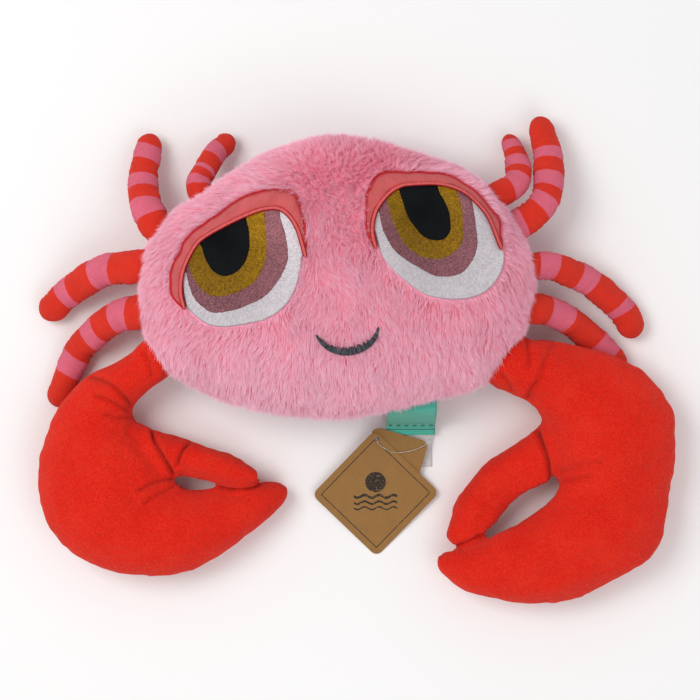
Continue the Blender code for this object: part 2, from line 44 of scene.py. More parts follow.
camera = dict(place=(0.0091, -0.0511, 1.64), lens=117.55, sensor=36, clip=(0.05, 20))
lens = bpy.data.cameras.new("camera")
lens.lens, lens.sensor_width = camera["lens"], camera["sensor"]
lens.clip_start, lens.clip_end = camera["clip"]
viewer = bpy.data.objects.new("camera", lens)
viewer.location = camera["place"]
bpy.context.scene.collection.objects.link(viewer)
bpy.context.scene.camera = viewer
bpy.context.scene.view_settings.view_transform = "Standard"
print("camera")


# Catmull-Rom: each stretch is a cubic of its four nearest points.
def smoothCurve(points, closed=False, steps=12):
    points = np.asarray(points, float)
    if closed:
        p, last = np.concatenate([points[-1:], points, points[:2]]), len(points)
    else:
        ends = 2 * points[:1] - points[1:2], 2 * points[-1:] - points[-2:-1]
        p, last = np.concatenate([ends[0], points, ends[1]]), len(points) - 1
    t = (np.arange(steps) / steps)[None, :, None]
    a, b, c, d = (p[k : k + last, None] for k in range(4))
    curve = 0.5 * (2 * b + (c - a) * t + (2 * a - 5 * b + 4 * c - d) * t**2 + (3 * b - a - 3 * c + d) * t**3)
    curve = curve.reshape(-1, points.shape[1])
    return curve if closed else np.concatenate([curve, points[-1:]])


# 0 before start and 1 after end, with a soft S between them.
def lengthsAlong(curve):
    return np.concatenate([[0], np.cumsum(np.linalg.norm(np.diff(curve, axis=0), axis=1))])


# Points on a curve at these lengths from its start.
def placesAlong(curve, lengths):
    reached = lengthsAlong(curve)
    return np.stack([np.interp(lengths, reached, column) for column in curve.T], axis=1)


def lengthOf(curve):
    return float(np.linalg.norm(np.diff(curve, axis=0), axis=1).sum())


def evenPoints(points, count):
    curve = smoothCurve(points)
    return placesAlong(curve, np.linspace(0, lengthOf(curve), count))


# Vectors made one unit long.
def unit(vectors, least=0):
    return vectors / np.maximum(np.linalg.norm(vectors, axis=-1, keepdims=True), least)


# Directions in the plane turned a quarter turn to their left.
def leftOf(ahead):
    return np.stack([-ahead[:, 1], ahead[:, 0]], axis=1)


# The curve moved to its left, square to its direction.
def offsetCurve(curve, distance):
    return curve + np.reshape(distance, (-1, 1)) * leftOf(unit(np.gradient(curve, axis=0)))


def fade(value, start, end):
    t = np.clip((np.asarray(value, float) - start) / (end - start), 0, 1)
    return t * t * (3 - 2 * t)


# Smooth noise of about -1 to 1: a sum of sine waves in as many fixed directions.
def softNoise(points, wavelength, seed, waves=7):
    draw = np.random.default_rng(seed)
    directions = unit(draw.normal(size=(waves, points.shape[1])))
    directions *= math.tau / wavelength * draw.uniform(0.7, 1.5, (waves, 1))
    return np.sin(points @ directions.T + draw.uniform(0, math.tau, waves)).sum(axis=1) / waves**0.5 * 0.8


bodyShape = dict(
    halfSize=np.array([0.140, 0.0995]), thickness=0.105, seam=0.042, flat=0.62, dome=2.4,
    outline=(
        (1.00, -0.04), (0.96, -0.34), (0.86, -0.57), (0.71, -0.78), (0.46, -0.88), (0.21, -0.965),
        (-0.01, -1.0), (-0.26, -0.975), (-0.51, -0.905), (-0.735, -0.765), (-0.89, -0.62), (-0.97, -0.41),
        (-1.0, -0.09), (-0.96, 0.21), (-0.835, 0.45), (-0.635, 0.645), (-0.435, 0.825), (-0.235, 0.945),
        (-0.035, 1.0), (0.19, 0.965), (0.415, 0.875), (0.635, 0.765), (0.815, 0.555), (0.95, 0.26),
    ),
)
outline = smoothCurve(np.array(bodyShape["outline"]) * bodyShape["halfSize"], closed=True)
outlineAngles = np.mod(np.arctan2(outline[:, 1], outline[:, 0]), math.tau)
outlineOrder = np.argsort(outlineAngles)
outlineAngles, outlineRadii = outlineAngles[outlineOrder], np.linalg.norm(outline, axis=1)[outlineOrder]


# Height of the body's upper side: a dome of 1 - share to the power of dome, under a root.
def edgeRadius(angles):
    return np.interp(np.mod(angles, math.tau), outlineAngles, outlineRadii, period=math.tau)


def edgePoint(degrees):
    angle = math.radians(degrees)
    return float(edgeRadius(angle)) * np.array([math.cos(angle), math.sin(angle)])


def faceHeight(x, y):
    share = np.clip(np.hypot(x, y) / edgeRadius(np.arctan2(y, x)), 0, 1)
    rise = np.clip(1 - share ** bodyShape["dome"], 0, 1) ** 0.5
    return bodyShape["seam"] + (bodyShape["thickness"] - bodyShape["seam"]) * rise


# Points over the face: a plan of x and y, with their lift above the body's surface.
def onFace(plan, lift):
    return np.dstack([plan, faceHeight(plan[..., 0], plan[..., 1]) + lift])


# How far points lie outside the body, measured level: their radius less the body's at that height.
def outsideBody(points):
    x, y, z = points.T
    seam, flat = bodyShape["seam"], bodyShape["flat"]
    above = np.clip((z - seam) / (bodyShape["thickness"] - seam), 0, 1)
    below = np.clip(1 - z / seam, 0, 1)
    upper, lower = (1 - above**2) ** (1 / bodyShape["dome"]), flat + (1 - flat) * np.sqrt(1 - below**2)
    return np.hypot(x, y) - np.where(z > seam, upper, lower) * edgeRadius(np.arctan2(y, x))


# A mesh object from arrays: points, faces of four and of three corners, and values for each point.
def newPiece(name, points, quads, triangles=(), cornerUV=None, smooth=True, values=None):
    points = np.asarray(points, float).reshape(-1, 3)
    quads = np.asarray(quads, np.int32).reshape(-1, 4)
    triangles = np.asarray(triangles, np.int32).reshape(-1, 3)
    mesh = bpy.data.meshes.new(name)
    mesh.vertices.add(len(points))
    mesh.vertices.foreach_set("co", points.astype(np.float32).ravel())
    mesh.loops.add(quads.size + triangles.size)
    mesh.loops.foreach_set("vertex_index", np.concatenate([quads.ravel(), triangles.ravel()]))
    starts = np.concatenate([np.arange(len(quads)) * 4, quads.size + np.arange(len(triangles)) * 3])
    mesh.polygons.add(len(starts))
    mesh.polygons.foreach_set("loop_start", starts.astype(np.int32))
    mesh.polygons.foreach_set("use_smooth", np.full(len(starts), smooth))
    if cornerUV is not None:
        layer = mesh.uv_layers.new(name="cloth")
        layer.data.foreach_set("uv", np.asarray(cornerUV, np.float32).ravel())
    for label, column in (values or {}).items():
        kind, key = ("FLOAT", "value") if column.ndim == 1 else ("FLOAT_VECTOR", "vector")
        attribute = mesh.attributes.new(label, kind, "POINT")
        attribute.data.foreach_set(key, column.astype(np.float32).ravel())
    mesh.update(calc_edges=True)
    piece = bpy.data.objects.new(name, mesh)
    bpy.context.scene.collection.objects.link(piece)
    return piece


# Rings of points (rows, around, 3) joined into one closed surface, with a fan to a pole at each end.
# The UV map holds the lengths along and around in metres, and doesn't wrap at the last column.
def closedTube(name, rings, rowLengths=None, roundLengths=None, values=None):
    rings = np.asarray(rings, float)
    rows, around = rings.shape[:2]
    if rowLengths is None:
        rowLengths = lengthsAlong(rings.mean(axis=1))
    if roundLengths is None:
        middle = rings[rows // 2]
        roundLengths = lengthsAlong(np.concatenate([middle, middle[:1]]))
    points = np.concatenate([rings.reshape(-1, 3), rings[:1].mean(axis=1), rings[-1:].mean(axis=1)])
    i, j = (grid.ravel() for grid in np.meshgrid(np.arange(rows - 1), np.arange(around), indexing="ij"))
    k = (j + 1) % around
    quads = np.stack([i * around + j, i * around + k, (i + 1) * around + k, (i + 1) * around + j], axis=1)
    j1 = np.arange(around)
    k1, end = (j1 + 1) % around, (rows - 1) * around
    first = np.stack([np.full(around, rows * around), k1, j1], axis=1)
    last = np.stack([np.full(around, rows * around + 1), end + j1, end + k1], axis=1)
    triangles = np.concatenate([first, last])
    u = np.concatenate([np.stack([i, i, i + 1, i + 1], axis=1).ravel(), np.zeros(3 * around, int),
                        np.full(3 * around, rows - 1)])
    v = np.concatenate([np.stack(columns, axis=1).ravel()
                        for columns in ((j, j + 1, j + 1, j), (j1, j1 + 1, j1), (j1, j1, j1 + 1))])
    uv = np.stack([np.asarray(rowLengths)[u], np.asarray(roundLengths)[v]], axis=1)
    if np.linalg.det(points[quads[:, :3]] - points.mean(axis=0)).sum() < 0:  # turned inside out
        order = np.arange(len(uv))
        four = order[: quads.size].reshape(-1, 4)[:, ::-1].ravel()
        three = order[quads.size :].reshape(-1, 3)[:, ::-1].ravel()
        quads, triangles, uv = quads[:, ::-1], triangles[:, ::-1], uv[np.concatenate([four, three])]
    columns = {}
    for label, grid in (values or {}).items():
        flat = grid.reshape(rows * around, *grid.shape[2:])
        columns[label] = np.concatenate([flat, grid[:1].mean(1), grid[-1:].mean(1)])
    return newPiece(name, points, quads, triangles, uv, values=columns)


# One kind of a mesh's data as an array.
def readMesh(items, key, width=3, kind=np.float32):
    found = np.empty(len(items) * width, kind)
    items.foreach_get(key, found)
    return found.reshape(-1, width)


def pointsOf(piece):
    return readMesh(piece.data.vertices, "co").astype(float)


def normalsOf(piece):
    return readMesh(piece.data.vertices, "normal").astype(float)


def setPoints(piece, points):
    piece.data.vertices.foreach_set("co", points.astype(np.float32).ravel())
    piece.data.update()


def edgesOf(piece):
    return readMesh(piece.data.edges, "vertices", 2, np.int32)


# Moves each point towards the mean of its neighbours.
def relax(points, edges, times, share=0.5):
    count = np.bincount(edges.ravel(), minlength=len(points))[:, None]
    for _ in range(times):
        total = np.zeros_like(points)
        np.add.at(total, edges[:, 0], points[edges[:, 1]])
        np.add.at(total, edges[:, 1], points[edges[:, 0]])
        points = points + share * (total / np.maximum(count, 1) - points)
    return points


# The mesh as its modifiers leave it becomes the piece's own.
def applyModifiers(piece):
    graph = bpy.context.evaluated_depsgraph_get()
    soft = piece.evaluated_get(graph)
    made = bpy.data.meshes.new_from_object(soft, preserve_all_data_layers=True, depsgraph=graph)
    piece.modifiers.clear()
    piece.data = made


filling = dict(frames=20, quality=5, mass=0.25, stretch=12, bend=0.3)


# Fills a shell with air as cloth, without gravity. A point moves cap metres at most, and held ones stay.
def puffUp(piece, pressure, cap, held):
    before = pointsOf(piece)
    cloth = piece.modifiers.new("filling", "CLOTH")
    cloth.settings.quality = filling["quality"]
    cloth.settings.mass = filling["mass"]
    cloth.settings.tension_stiffness = cloth.settings.compression_stiffness = filling["stretch"]
    cloth.settings.bending_stiffness = filling["bend"]
    cloth.settings.use_pressure = True
    cloth.settings.uniform_pressure_force = pressure
    cloth.settings.effector_weights.gravity = 0
    cloth.collision_settings.use_collision = False
    cloth.point_cache.frame_start, cloth.point_cache.frame_end = 1, filling["frames"]
    scene = bpy.context.scene
    for number in range(1, filling["frames"] + 1):
        scene.frame_set(number)
    soft = piece.evaluated_get(bpy.context.evaluated_depsgraph_get())
    moved = readMesh(soft.data.vertices, "co") - before
    piece.modifiers.clear()
    scene.frame_set(1)
    moved *= np.minimum(1, cap / np.maximum(np.linalg.norm(moved, axis=1, keepdims=True), 1e-9))
    setPoints(piece, before + moved * (1 - held[:, None]))


# What every piece needs: a material, the body it rides on, and the solids it stands for.
def fit(piece, material, nodes=()):
    piece.data.materials.append(material)
    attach(piece, "root")
    if nodes:
        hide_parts(*nodes)


# A number, point or colour in a shader tree. The signs + - * / on it add a Math node.
class Value:
    def __init__(self, nodes, socket):
        self.nodes, self.socket = nodes, socket

    def __add__(self, other):
        return self.nodes.math("ADD", self, other)

    def __sub__(self, other):
        return self.nodes.math("SUBTRACT", self, other)

    def __rsub__(self, other):
        return self.nodes.math("SUBTRACT", other, self)

    def __mul__(self, other):
        return self.nodes.math("MULTIPLY", self, other)

    def __truediv__(self, other):
        return self.nodes.math("DIVIDE", self, other)

    def __rtruediv__(self, other):
        return self.nodes.math("DIVIDE", other, self)

    __radd__, __rmul__ = __add__, __mul__


# A short way to add nodes to a tree and link them.
class Nodes:
    def __init__(self, tree):
        self.tree = tree

    def add(self, kind, **settings):
        node = self.tree.nodes.new("ShaderNode" + kind)
        for key, value in settings.items():
            setattr(node, key, value)
        return node

    def set(self, socket, value):
        if isinstance(value, Value):
            self.tree.links.new(value.socket, socket)
        else:
            socket.default_value = value

    # Sets a node's inputs in their order, and gives back its first output.
    def feed(self, node, *values):
        for socket, value in zip(node.inputs, values):
            self.set(socket, value)
        return Value(self, node.outputs[0])

    def math(self, operation, first, second=0.0, clamp=False):
        return self.feed(self.add("Math", operation=operation, use_clamp=clamp), first, second)

    # A soft S from toLow to toHigh, as the value goes from low to high.
    def ramp(self, value, low, high, toLow=0.0, toHigh=1.0):
        node = self.add("MapRange", interpolation_type="SMOOTHSTEP")
        return self.feed(node, value, low, high, toLow, toHigh)

    def mix(self, share, first, second):
        node = self.add("Mix", data_type="RGBA")
        self.set(node.inputs["Factor"], share)
        for label, colour in (("A", first), ("B", second)):
            self.set(node.inputs[label], colour if isinstance(colour, Value) else (*colour[:3], 1))
        return Value(self, node.outputs["Result"])

    def noise(self, vector, scale, detail=2.0, roughness=0.5):
        node = self.add("TexNoise")
        given = dict(Vector=vector, Scale=scale, Detail=detail, Roughness=roughness)
        for label, value in given.items():
            self.set(node.inputs[label], value)
        return Value(self, node.outputs["Fac"])

    # The first two parts of a vector.
    def split(self, vector):
        node = self.add("SeparateXYZ")
        self.set(node.inputs[0], vector)
        return Value(self, node.outputs[0]), Value(self, node.outputs[1])

    # A point turned and stretched.
    def turned(self, vector, kind="POINT", **settings):
        node = self.add("Mapping", vector_type=kind)
        for label, value in settings.items():
            node.inputs[label].default_value = value
        self.set(node.inputs["Vector"], vector)
        return Value(self, node.outputs[0])

    # A copy of a group: its shade and its height.
    def group(self, tree, **values):
        node = self.add("Group", node_tree=tree)
        for key, value in values.items():
            self.set(node.inputs[key], value)
        return Value(self, node.outputs["Shade"]), Value(self, node.outputs["Height"])


# A shader group with named inputs, each with its usual value, that puts out a shade and a height.
def newGroup(name, **inputs):
    tree = bpy.data.node_groups.new(name, "ShaderNodeTree")
    for label, value in inputs.items():
        kind = "NodeSocketVector" if value is None else "NodeSocketFloat"
        socket = tree.interface.new_socket(label, in_out="INPUT", socket_type=kind)
        if value is not None:
            socket.default_value = value
    for label in ("Shade", "Height"):
        tree.interface.new_socket(label, in_out="OUTPUT", socket_type="NodeSocketFloat")
    n = Nodes(tree)
    given = tree.nodes.new("NodeGroupInput").outputs
    return tree, n, [Value(n, given[label]) for label in inputs], tree.nodes.new("NodeGroupOutput").inputs


# Fibre grain: fine noise for the height, and two sizes of noise that vary the shade a little about 1.
def clothGrain():
    tree, n, (point, grainSize, blotchSize, grain, blotches), out = newGroup(
        "clothGrain", point=None, grainSize=0.0008, blotchSize=0.02, grain=0.1, blotches=0.1)
    fine = n.noise(point, 1.0 / grainSize, 3, 0.6)
    broad = n.noise(point, 1.0 / blotchSize, 2, 0.5)
    n.set(out["Shade"], (fine - 0.5) * grain + (broad - 0.5) * blotches + 1.0)
    n.set(out["Height"], fine)
    return tree


# Embroidery: rows of thread, each round like a half sine, cut into stitches that step from row to row.
# Along and across are lengths in metres; a hash of the row and the stitch varies the shade.
def threadRows():
    tree, n, (along, across, thread, stitch, depth, vary), out = newGroup(
        "threadRows", along=0.0, across=0.0, thread=0.0005, stitch=0.004, depth=0.25, vary=0.15)
    rows = across / thread
    row = n.math("FLOOR", rows)
    bow = n.math("SINE", (rows - row) * math.pi)
    stitches = along / stitch + n.math("FRACT", row * 0.381)
    place = n.math("FRACT", stitches)
    ends = n.ramp(n.math("MINIMUM", place, 1.0 - place), 0.0, 0.12)
    height = n.math("POWER", bow, 0.6) * (ends * 0.6 + 0.4)
    white = n.add("TexWhiteNoise", noise_dimensions="2D")
    n.set(white.inputs["Vector"], n.feed(n.add("CombineXYZ"), row, n.math("FLOOR", stitches)))
    varied = (Value(n, white.outputs["Value"]) - 0.5) * vary
    n.set(out["Shade"], varied + 1.0 - (1.0 - height) * depth)
    n.set(out["Height"], height)
    return tree


# Plain weave: two sets of round yarns, and a chequer says which one lies on top.
def wovenCloth():
    tree, n, (along, across, yarn, depth), out = newGroup(
        "wovenCloth", along=0.0, across=0.0, yarn=0.0005, depth=0.2)
    yarns = (along / yarn, across / yarn)
    first, second = (n.math("SINE", n.math("FRACT", place) * math.pi) for place in yarns)
    cell = n.math("FLOOR", yarns[0]) + n.math("FLOOR", yarns[1])
    chequer = n.math("MODULO", n.math("ABSOLUTE", cell), 2.0)
    height = n.math("MAXIMUM", first * (chequer * 0.5 + 0.5), second * (1.0 - chequer * 0.5))
    n.set(out["Shade"], 1.0 - (1.0 - height) * depth)
    n.set(out["Height"], height)
    return tree


grainGroup, threadGroup, weaveGroup = clothGrain(), threadRows(), wovenCloth()


# A Principled material, with the numbers that are the same all over on its own sockets.
def newMaterial(name, roughness, sheen=0.0, sheenTint=(1, 1, 1), specular=0.3):
    material = bpy.data.materials.new(name)
    material.use_nodes = True
    shader = material.node_tree.nodes["Principled BSDF"]
    shader.inputs["Roughness"].default_value = roughness
    shader.inputs["Specular IOR Level"].default_value = specular
    shader.inputs["Sheen Weight"].default_value = sheen
    shader.inputs["Sheen Roughness"].default_value = 0.5
    shader.inputs["Sheen Tint"].default_value = (*sheenTint, 1)
    return material, Nodes(material.node_tree), shader


# A colour times a shade.
def shaded(n, colour, shade):
    node = n.add("VectorMath", operation="SCALE")
    n.set(node.inputs[0], colour if isinstance(colour, Value) else tuple(colour[:3]))
    n.set(node.inputs["Scale"], shade)
    return Value(n, node.outputs[0])


# The colour and, where a height is given, its relief in metres go to the shader.
def paint(n, shader, colour, height=None, relief=0.0):
    n.set(shader.inputs["Base Color"], colour)
    if height is not None:
        node = n.add("Bump")
        node.inputs["Strength"].default_value = 1.0
        node.inputs["Distance"].default_value = relief
        n.set(node.inputs["Height"], height)
        n.set(shader.inputs["Normal"], Value(n, node.outputs["Normal"]))


# The cloth UV map as two lengths: along and across.
def uvParts(n):
    return n.split(Value(n, n.add("UVMap", uv_map="cloth").outputs["UV"]))


def objectPoint(n):
    return Value(n, n.add("TexCoord").outputs["Object"])


def readValue(n, label):
    return Value(n, n.add("Attribute", attribute_name=label).outputs["Fac"])


# The tag's nylon string: its points are in millimetres from the middle of the labels' seam.
stringRoute = dict(
    points=(
        (13.2, -23.4, 4.4), (13.7, -24.4, 6.4), (12.2, -26.8, 8.3), (6, -30.4, 8.6), (-2, -32.8, 8.7),
        (-9, -33.6, 8.7), (-15, -32.6, 8.8), (-20, -29.8, 9.1), (-23, -27, 9.3), (-24.2, -24.7, 8.6),
        (-23.9, -22.9, 6.9), (-22, -21.5, 5.4), (-19.3, -21.3, 4.9), (-16.8, -22, 4.9), (-14, -23.6, 4.5),
    ),
    diameter=0.0006, tone=(0.86, 0.86, 0.84),
)
labelPlace = edgePoint(-60)


# The route's points joined by one smooth curve, taken again at even steps.
def makeString():
    points = evenPoints(np.array(stringRoute["points"]) * mm + np.array([*labelPlace, 0]), 60)
    curve = bpy.data.curves.new("tagString", "CURVE")
    curve.dimensions = "3D"
    curve.bevel_depth, curve.bevel_resolution, curve.use_fill_caps = stringRoute["diameter"] / 2, 3, True
    spline = curve.splines.new("POLY")
    spline.points.add(len(points) - 1)
    spline.points.foreach_set("co", np.column_stack([points, np.ones(len(points))]).ravel())
    piece = bpy.data.objects.new("tagString", curve)
    bpy.context.scene.collection.objects.link(piece)
    material, n, shader = newMaterial("clearNylon", 0.18, specular=0.5)
    shader.inputs["Transmission Weight"].default_value = 0.75
    shader.inputs["IOR"].default_value = 1.45
    paint(n, shader, shaded(n, stringRoute["tone"], n.noise(objectPoint(n), 900) * 0.1 + 0.93))
    fit(piece, material, ["tag_string"])
    print("string", round(lengthOf(points), 4))


makeString()


# The eyes: lines of the lids and of the fields of thread, in millimetres from each eye's middle.
eyes = dict(
    left=dict(
        middle=(-0.457, 0.070),
        lidOuter=((-39, -30), (-47, -22), (-49, -12), (-48, -3), (-43, 8), (-36, 20), (-20, 31), (-7, 41),
                  (6, 47.5), (20, 50), (31, 49.5), (38, 43), (41, 32), (42.5, 20), (43, 10), (43, 4)),
        lidInner=((-39, -30), (-41.5, -20), (-41, -9), (-38, 1), (-32, 12), (-26, 18), (-12, 26), (3, 33),
                  (15, 37), (25, 37), (32, 32), (37, 24), (40, 15), (43, 4)),
        fields=dict(
            white=((-40, -2.3), (-41, -12.9), (-39.5, -22.7), (-38, -28.4), (-32.1, -34.8),
                   (-24.2, -40.2), (-15.3, -42.3), (-5.5, -41.9), (6.1, -39.8), (15.8, -37.4),
                   (24.6, -32.6), (31.3, -25.9), (36.1, -17.3), (39, -7.7), (40.4, 1.9), (42, 12),
                   (38, 30), (24, 43), (0, 38), (-28, 20)),
            mauve=((-38.5, -1.3), (-38, -7.1), (-35.5, -16.9), (-31.5, -24.6), (-25.1, -30.5),
                   (-19.2, -33.1), (-11.3, -32.5), (-3.5, -31.1), (6.2, -27.3), (14.9, -23),
                   (21.7, -16.3), (27.4, -7.7), (31.1, 1), (31.5, 9.6), (29.8, 19.3), (27.3, 28.1),
                   (21.5, 42), (0, 38), (-28, 22)),
            gold=((-37.1, 5.5), (-36.5, -1.3), (-33.5, -9.2), (-29, -16), (-23, -20.9), (-16.2, -22.5),
                  (-8.3, -21.4), (0.4, -18.1), (8.2, -13.4), (13, -6.7), (16.4, 2), (17.3, 11.7),
                  (16.9, 21.4), (15.7, 31.2), (14, 42), (-2, 36), (-28, 22)),
            pupil=((-29, 18), (-27.3, 10.2), (-24.6, 2.4), (-20.1, -4.5), (-14.2, -8.2), (-8.3, -8.2),
                   (-1.5, -4.6), (3.3, 2.1), (5.7, 10.7), (5.6, 19.5), (4.1, 27.4), (0, 38), (-15, 32)),
        ),
    ),
    right=dict(
        middle=(0.493, 0.231),
        lidOuter=((-42, -6), (-48, 6), (-49, 17), (-48.5, 29), (-45, 40), (-37, 46), (-27, 46),
                  (-8, 46.5), (4, 45.5), (13, 43), (20, 39), (27, 32.5), (35, 25), (40, 18), (42.5, 9),
                  (43.5, 0), (43.5, -6)),
        lidInner=((-42, -6), (-44.5, 4), (-44, 13), (-41, 22), (-34, 31), (-27, 36), (-20, 38), (-2, 39),
                  (10, 37), (19, 33), (26, 27), (33, 19), (37, 11), (40, 3), (43.5, -6)),
        fields=dict(
            white=((-43.6, 12.5), (-42.2, 2.3), (-38.8, -9.3), (-34, -17), (-26.3, -24.6), (-16.6, -32.3),
                   (-7, -37.5), (4.7, -39.7), (16.5, -39.6), (27.3, -37), (34.2, -32.8), (40.2, -26),
                   (44.4, -17.1), (45.5, -8.2), (43.5, -4.4), (41, 6), (36, 20), (20, 40), (-5, 45),
                   (-32, 40)),
            mauve=((-40.5, 26), (-38.8, 10.1), (-35, 0.4), (-29.2, -8.2), (-20.5, -14.9), (-11.8, -19.8),
                   (-4.1, -24), (4.6, -24.9), (14.4, -22.9), (21.3, -16.5), (25.3, -8.7), (26.9, -0.8),
                   (26.1, 9), (24.8, 19.9), (22.5, 30), (14, 40), (-5, 44), (-32, 38)),
            gold=((-35.5, 33), (-33.4, 18.9), (-30.1, 9.2), (-25.3, -0.5), (-19.5, -6.8), (-11.8, -11.5),
                  (-4, -13.2), (4.7, -11.9), (12.5, -6.9), (16.6, -0.1), (17.1, 8.7), (16.9, 20.7),
                  (14.6, 29.6), (9, 42), (-5, 44), (-28, 40)),
            pupil=((-26, 40), (-24.2, 24.8), (-20.4, 14.1), (-14.7, 6.3), (-8.9, 1), (-1.1, -0.6),
                   (4.8, 1.2), (8.2, 6.7), (8.3, 15.5), (6, 24.3), (1.7, 32.2), (-4, 42)),
        ),
    ),
)
for eye in eyes.values():
    eye["at"] = np.array(eye["middle"]) * bodyShape["halfSize"]
    outer, eye["inner"] = (evenPoints(np.array(eye[line]) * mm + eye["at"], 161)
                           for line in ("lidOuter", "lidInner"))
    eye["outer"] = offsetCurve(outer, 0.0007 * softNoise(outer, 0.017, 12))


# How far a line lies from centre in each direction: where each ray first meets its segments.
def reachOf(loop, centre, angles):
    a, b = loop[:-1] - centre, loop[1:] - centre
    ray = np.stack([np.cos(angles), np.sin(angles)], axis=1)[:, None]
    step = (b - a)[None]
    cross = ray[..., 0] * step[..., 1] - ray[..., 1] * step[..., 0]
    cross = np.where(np.abs(cross) < 1e-12, 1e-12, cross)
    far = (a[None, :, 0] * step[..., 1] - a[None, :, 1] * step[..., 0]) / cross
    share = (a[None, :, 0] * ray[..., 1] - a[None, :, 1] * ray[..., 0]) / cross
    far = np.where((far > 0) & (share >= -1e-6) & (share <= 1 + 1e-6), far, np.inf)
    return far.min(axis=1)


compass = np.linspace(-math.pi, math.pi, 361)
for eye in eyes.values():
    white = smoothCurve(np.array(eye["fields"]["white"]) * mm + eye["at"], closed=True)
    edges = np.concatenate([white, white[:1]]), offsetCurve(eye["outer"], 0.0007)
    reach = np.stack([reachOf(edge, eye["at"], compass) for edge in edges])
    eye["reach"] = np.where(np.isfinite(reach), reach, 0).max(axis=0)


# How far outside the nearer eye a place on the face is: its distance from the eye's middle less the reach.
def outsideEyes(x, y):
    gaps = []
    for eye in eyes.values():
        dx, dy = x - eye["at"][0], y - eye["at"][1]
        gaps.append(np.hypot(dx, dy) - np.interp(np.arctan2(dy, dx), compass, eye["reach"]))
    return np.minimum(*gaps)


# The body's skin and pile. The whorl is a line on the forehead that the fur is combed away from.
furPile = dict(
    bunches=4, spikes=36000, length=0.0092, lift=15, width=0.00056, depth=0.0029,
    skinDepth=0.0019, clump=0.0020, clumpPull=0.40, wisps=0.07, spread=0.62, whorlSpread=4.8,
    whorl=((-0.0098, 0.0692), (0.0328, 0.0773)), downFrom=(0.075, 0.01),
    tip=(1.0, 0.625, 0.760), middle=(0.985, 0.415, 0.550), root=(0.860, 0.175, 0.275),
    pale=(1.0, 0.800, 0.880),
)


# Rings from the top of the face over the seam to the middle of the flat back. Each ring is the outline
# times a share: above the seam the dome's formula, below it a quarter turn.
def bodyRings(columns=180):
    angles = np.linspace(0, math.tau, columns, endpoint=False)
    top = 1 - (1 - np.linspace(0.012, 1, 54)) ** 1.7
    turn = np.linspace(0, math.pi / 2, 15)[1:]
    seam, flat = bodyShape["seam"], bodyShape["flat"]
    dome = np.sqrt(np.clip(1 - top ** bodyShape["dome"], 0, 1))
    shares = [top, flat + (1 - flat) * np.cos(turn), np.linspace(flat, 0.02, 10)[1:]]
    heights = [seam + (bodyShape["thickness"] - seam) * dome, seam * (1 - np.sin(turn)), np.zeros(9)]
    share, height = np.concatenate(shares)[:, None], np.concatenate(heights)[:, None]
    radius = share * edgeRadius(angles)[None]
    x, y = radius * np.cos(angles), radius * np.sin(angles)
    return np.stack([x, y, np.broadcast_to(height, radius.shape)], axis=2)


# Outward normals of closed rings: the cross product of the steps along and around.
def gridNormals(rings):
    along = np.gradient(rings, axis=0)
    around = np.roll(rings, -1, axis=1) - np.roll(rings, 1, axis=1)
    normal = np.cross(around, along)
    normal *= np.sign((normal * (rings - rings.mean(axis=(0, 1)))).sum())
    return unit(normal, 1e-12)


# The CAD surface moved in by the pile's depth, less on the flat back and under the eyes. Its colour, darker
# than the pile's middle, is painted shade between the strands; next to the eyes it is the lighter middle
# colour.
def makeSkin():
    rings = bodyRings()
    normals = gridNormals(rings)
    flatPoints = rings.reshape(-1, 3)
    upper = fade(flatPoints[:, 2], 0.03, 0.045)
    nearEye = (1 - fade(outsideEyes(flatPoints[:, 0], flatPoints[:, 1]), 0.0, 0.006)) * upper
    backDepth = furPile["skinDepth"]
    depth = backDepth + (furPile["depth"] - backDepth) * fade(flatPoints[:, 2], 0.0, 0.012)
    depth = depth * (1 - nearEye) + 0.0004 + 0.0004 * nearEye
    depth += 0.0005 * softNoise(flatPoints, 0.03, 3) * (1 - nearEye) * fade(flatPoints[:, 2], 0.002, 0.012)
    skin = flatPoints - normals.reshape(-1, 3) * depth[:, None]
    skin = skin.reshape(rings.shape)
    piece = closedTube("furSkin", skin, values=dict(nearEye=nearEye.reshape(rings.shape[:2])))
    material, n, shader = newMaterial("furSkin", 0.9)
    shade, height = n.group(grainGroup, point=objectPoint(n), grainSize=0.0007, grain=0.5, blotches=0.25)
    # Painted shade: the skin between the strands is a darker pink, half way from the root colour to the
    # middle.
    between = mixed(furPile["root"], furPile["middle"], 0.5)
    colour = n.mix(readValue(n, "nearEye"), between, furPile["middle"])
    paint(n, shader, shaded(n, colour, shade), height, 0.0006)
    fit(piece, material, ["body"])
    return skin, normals


# A fixed random number from 0 to 1 for each whole-number cell: the fraction of a large sine.
def hashed(cells, salt):
    mixed = cells @ np.array([127.1, 311.7, 74.7]) + salt * 19.19
    return np.mod(np.sin(mixed) * 43758.5453, 1)


# The nearest of the points scattered one to a cell of space, looked for in the 27 cells around.
def clumpOf(points, size):
    cell = np.floor(points / size)
    best = np.full(len(points), np.inf)
    centre, key = np.zeros_like(points), np.zeros_like(points)
    for number in range(27):
        near = cell + np.array([number // 9 - 1, number // 3 % 3 - 1, number % 3 - 1])
        spot = (near + np.stack([hashed(near, salt) for salt in (1, 2, 3)], axis=1)) * size
        gap = np.linalg.norm(spot - points, axis=1)
        closer = gap < best
        best[closer], centre[closer], key[closer] = gap[closer], spot[closer], near[closer]
    return centre, key


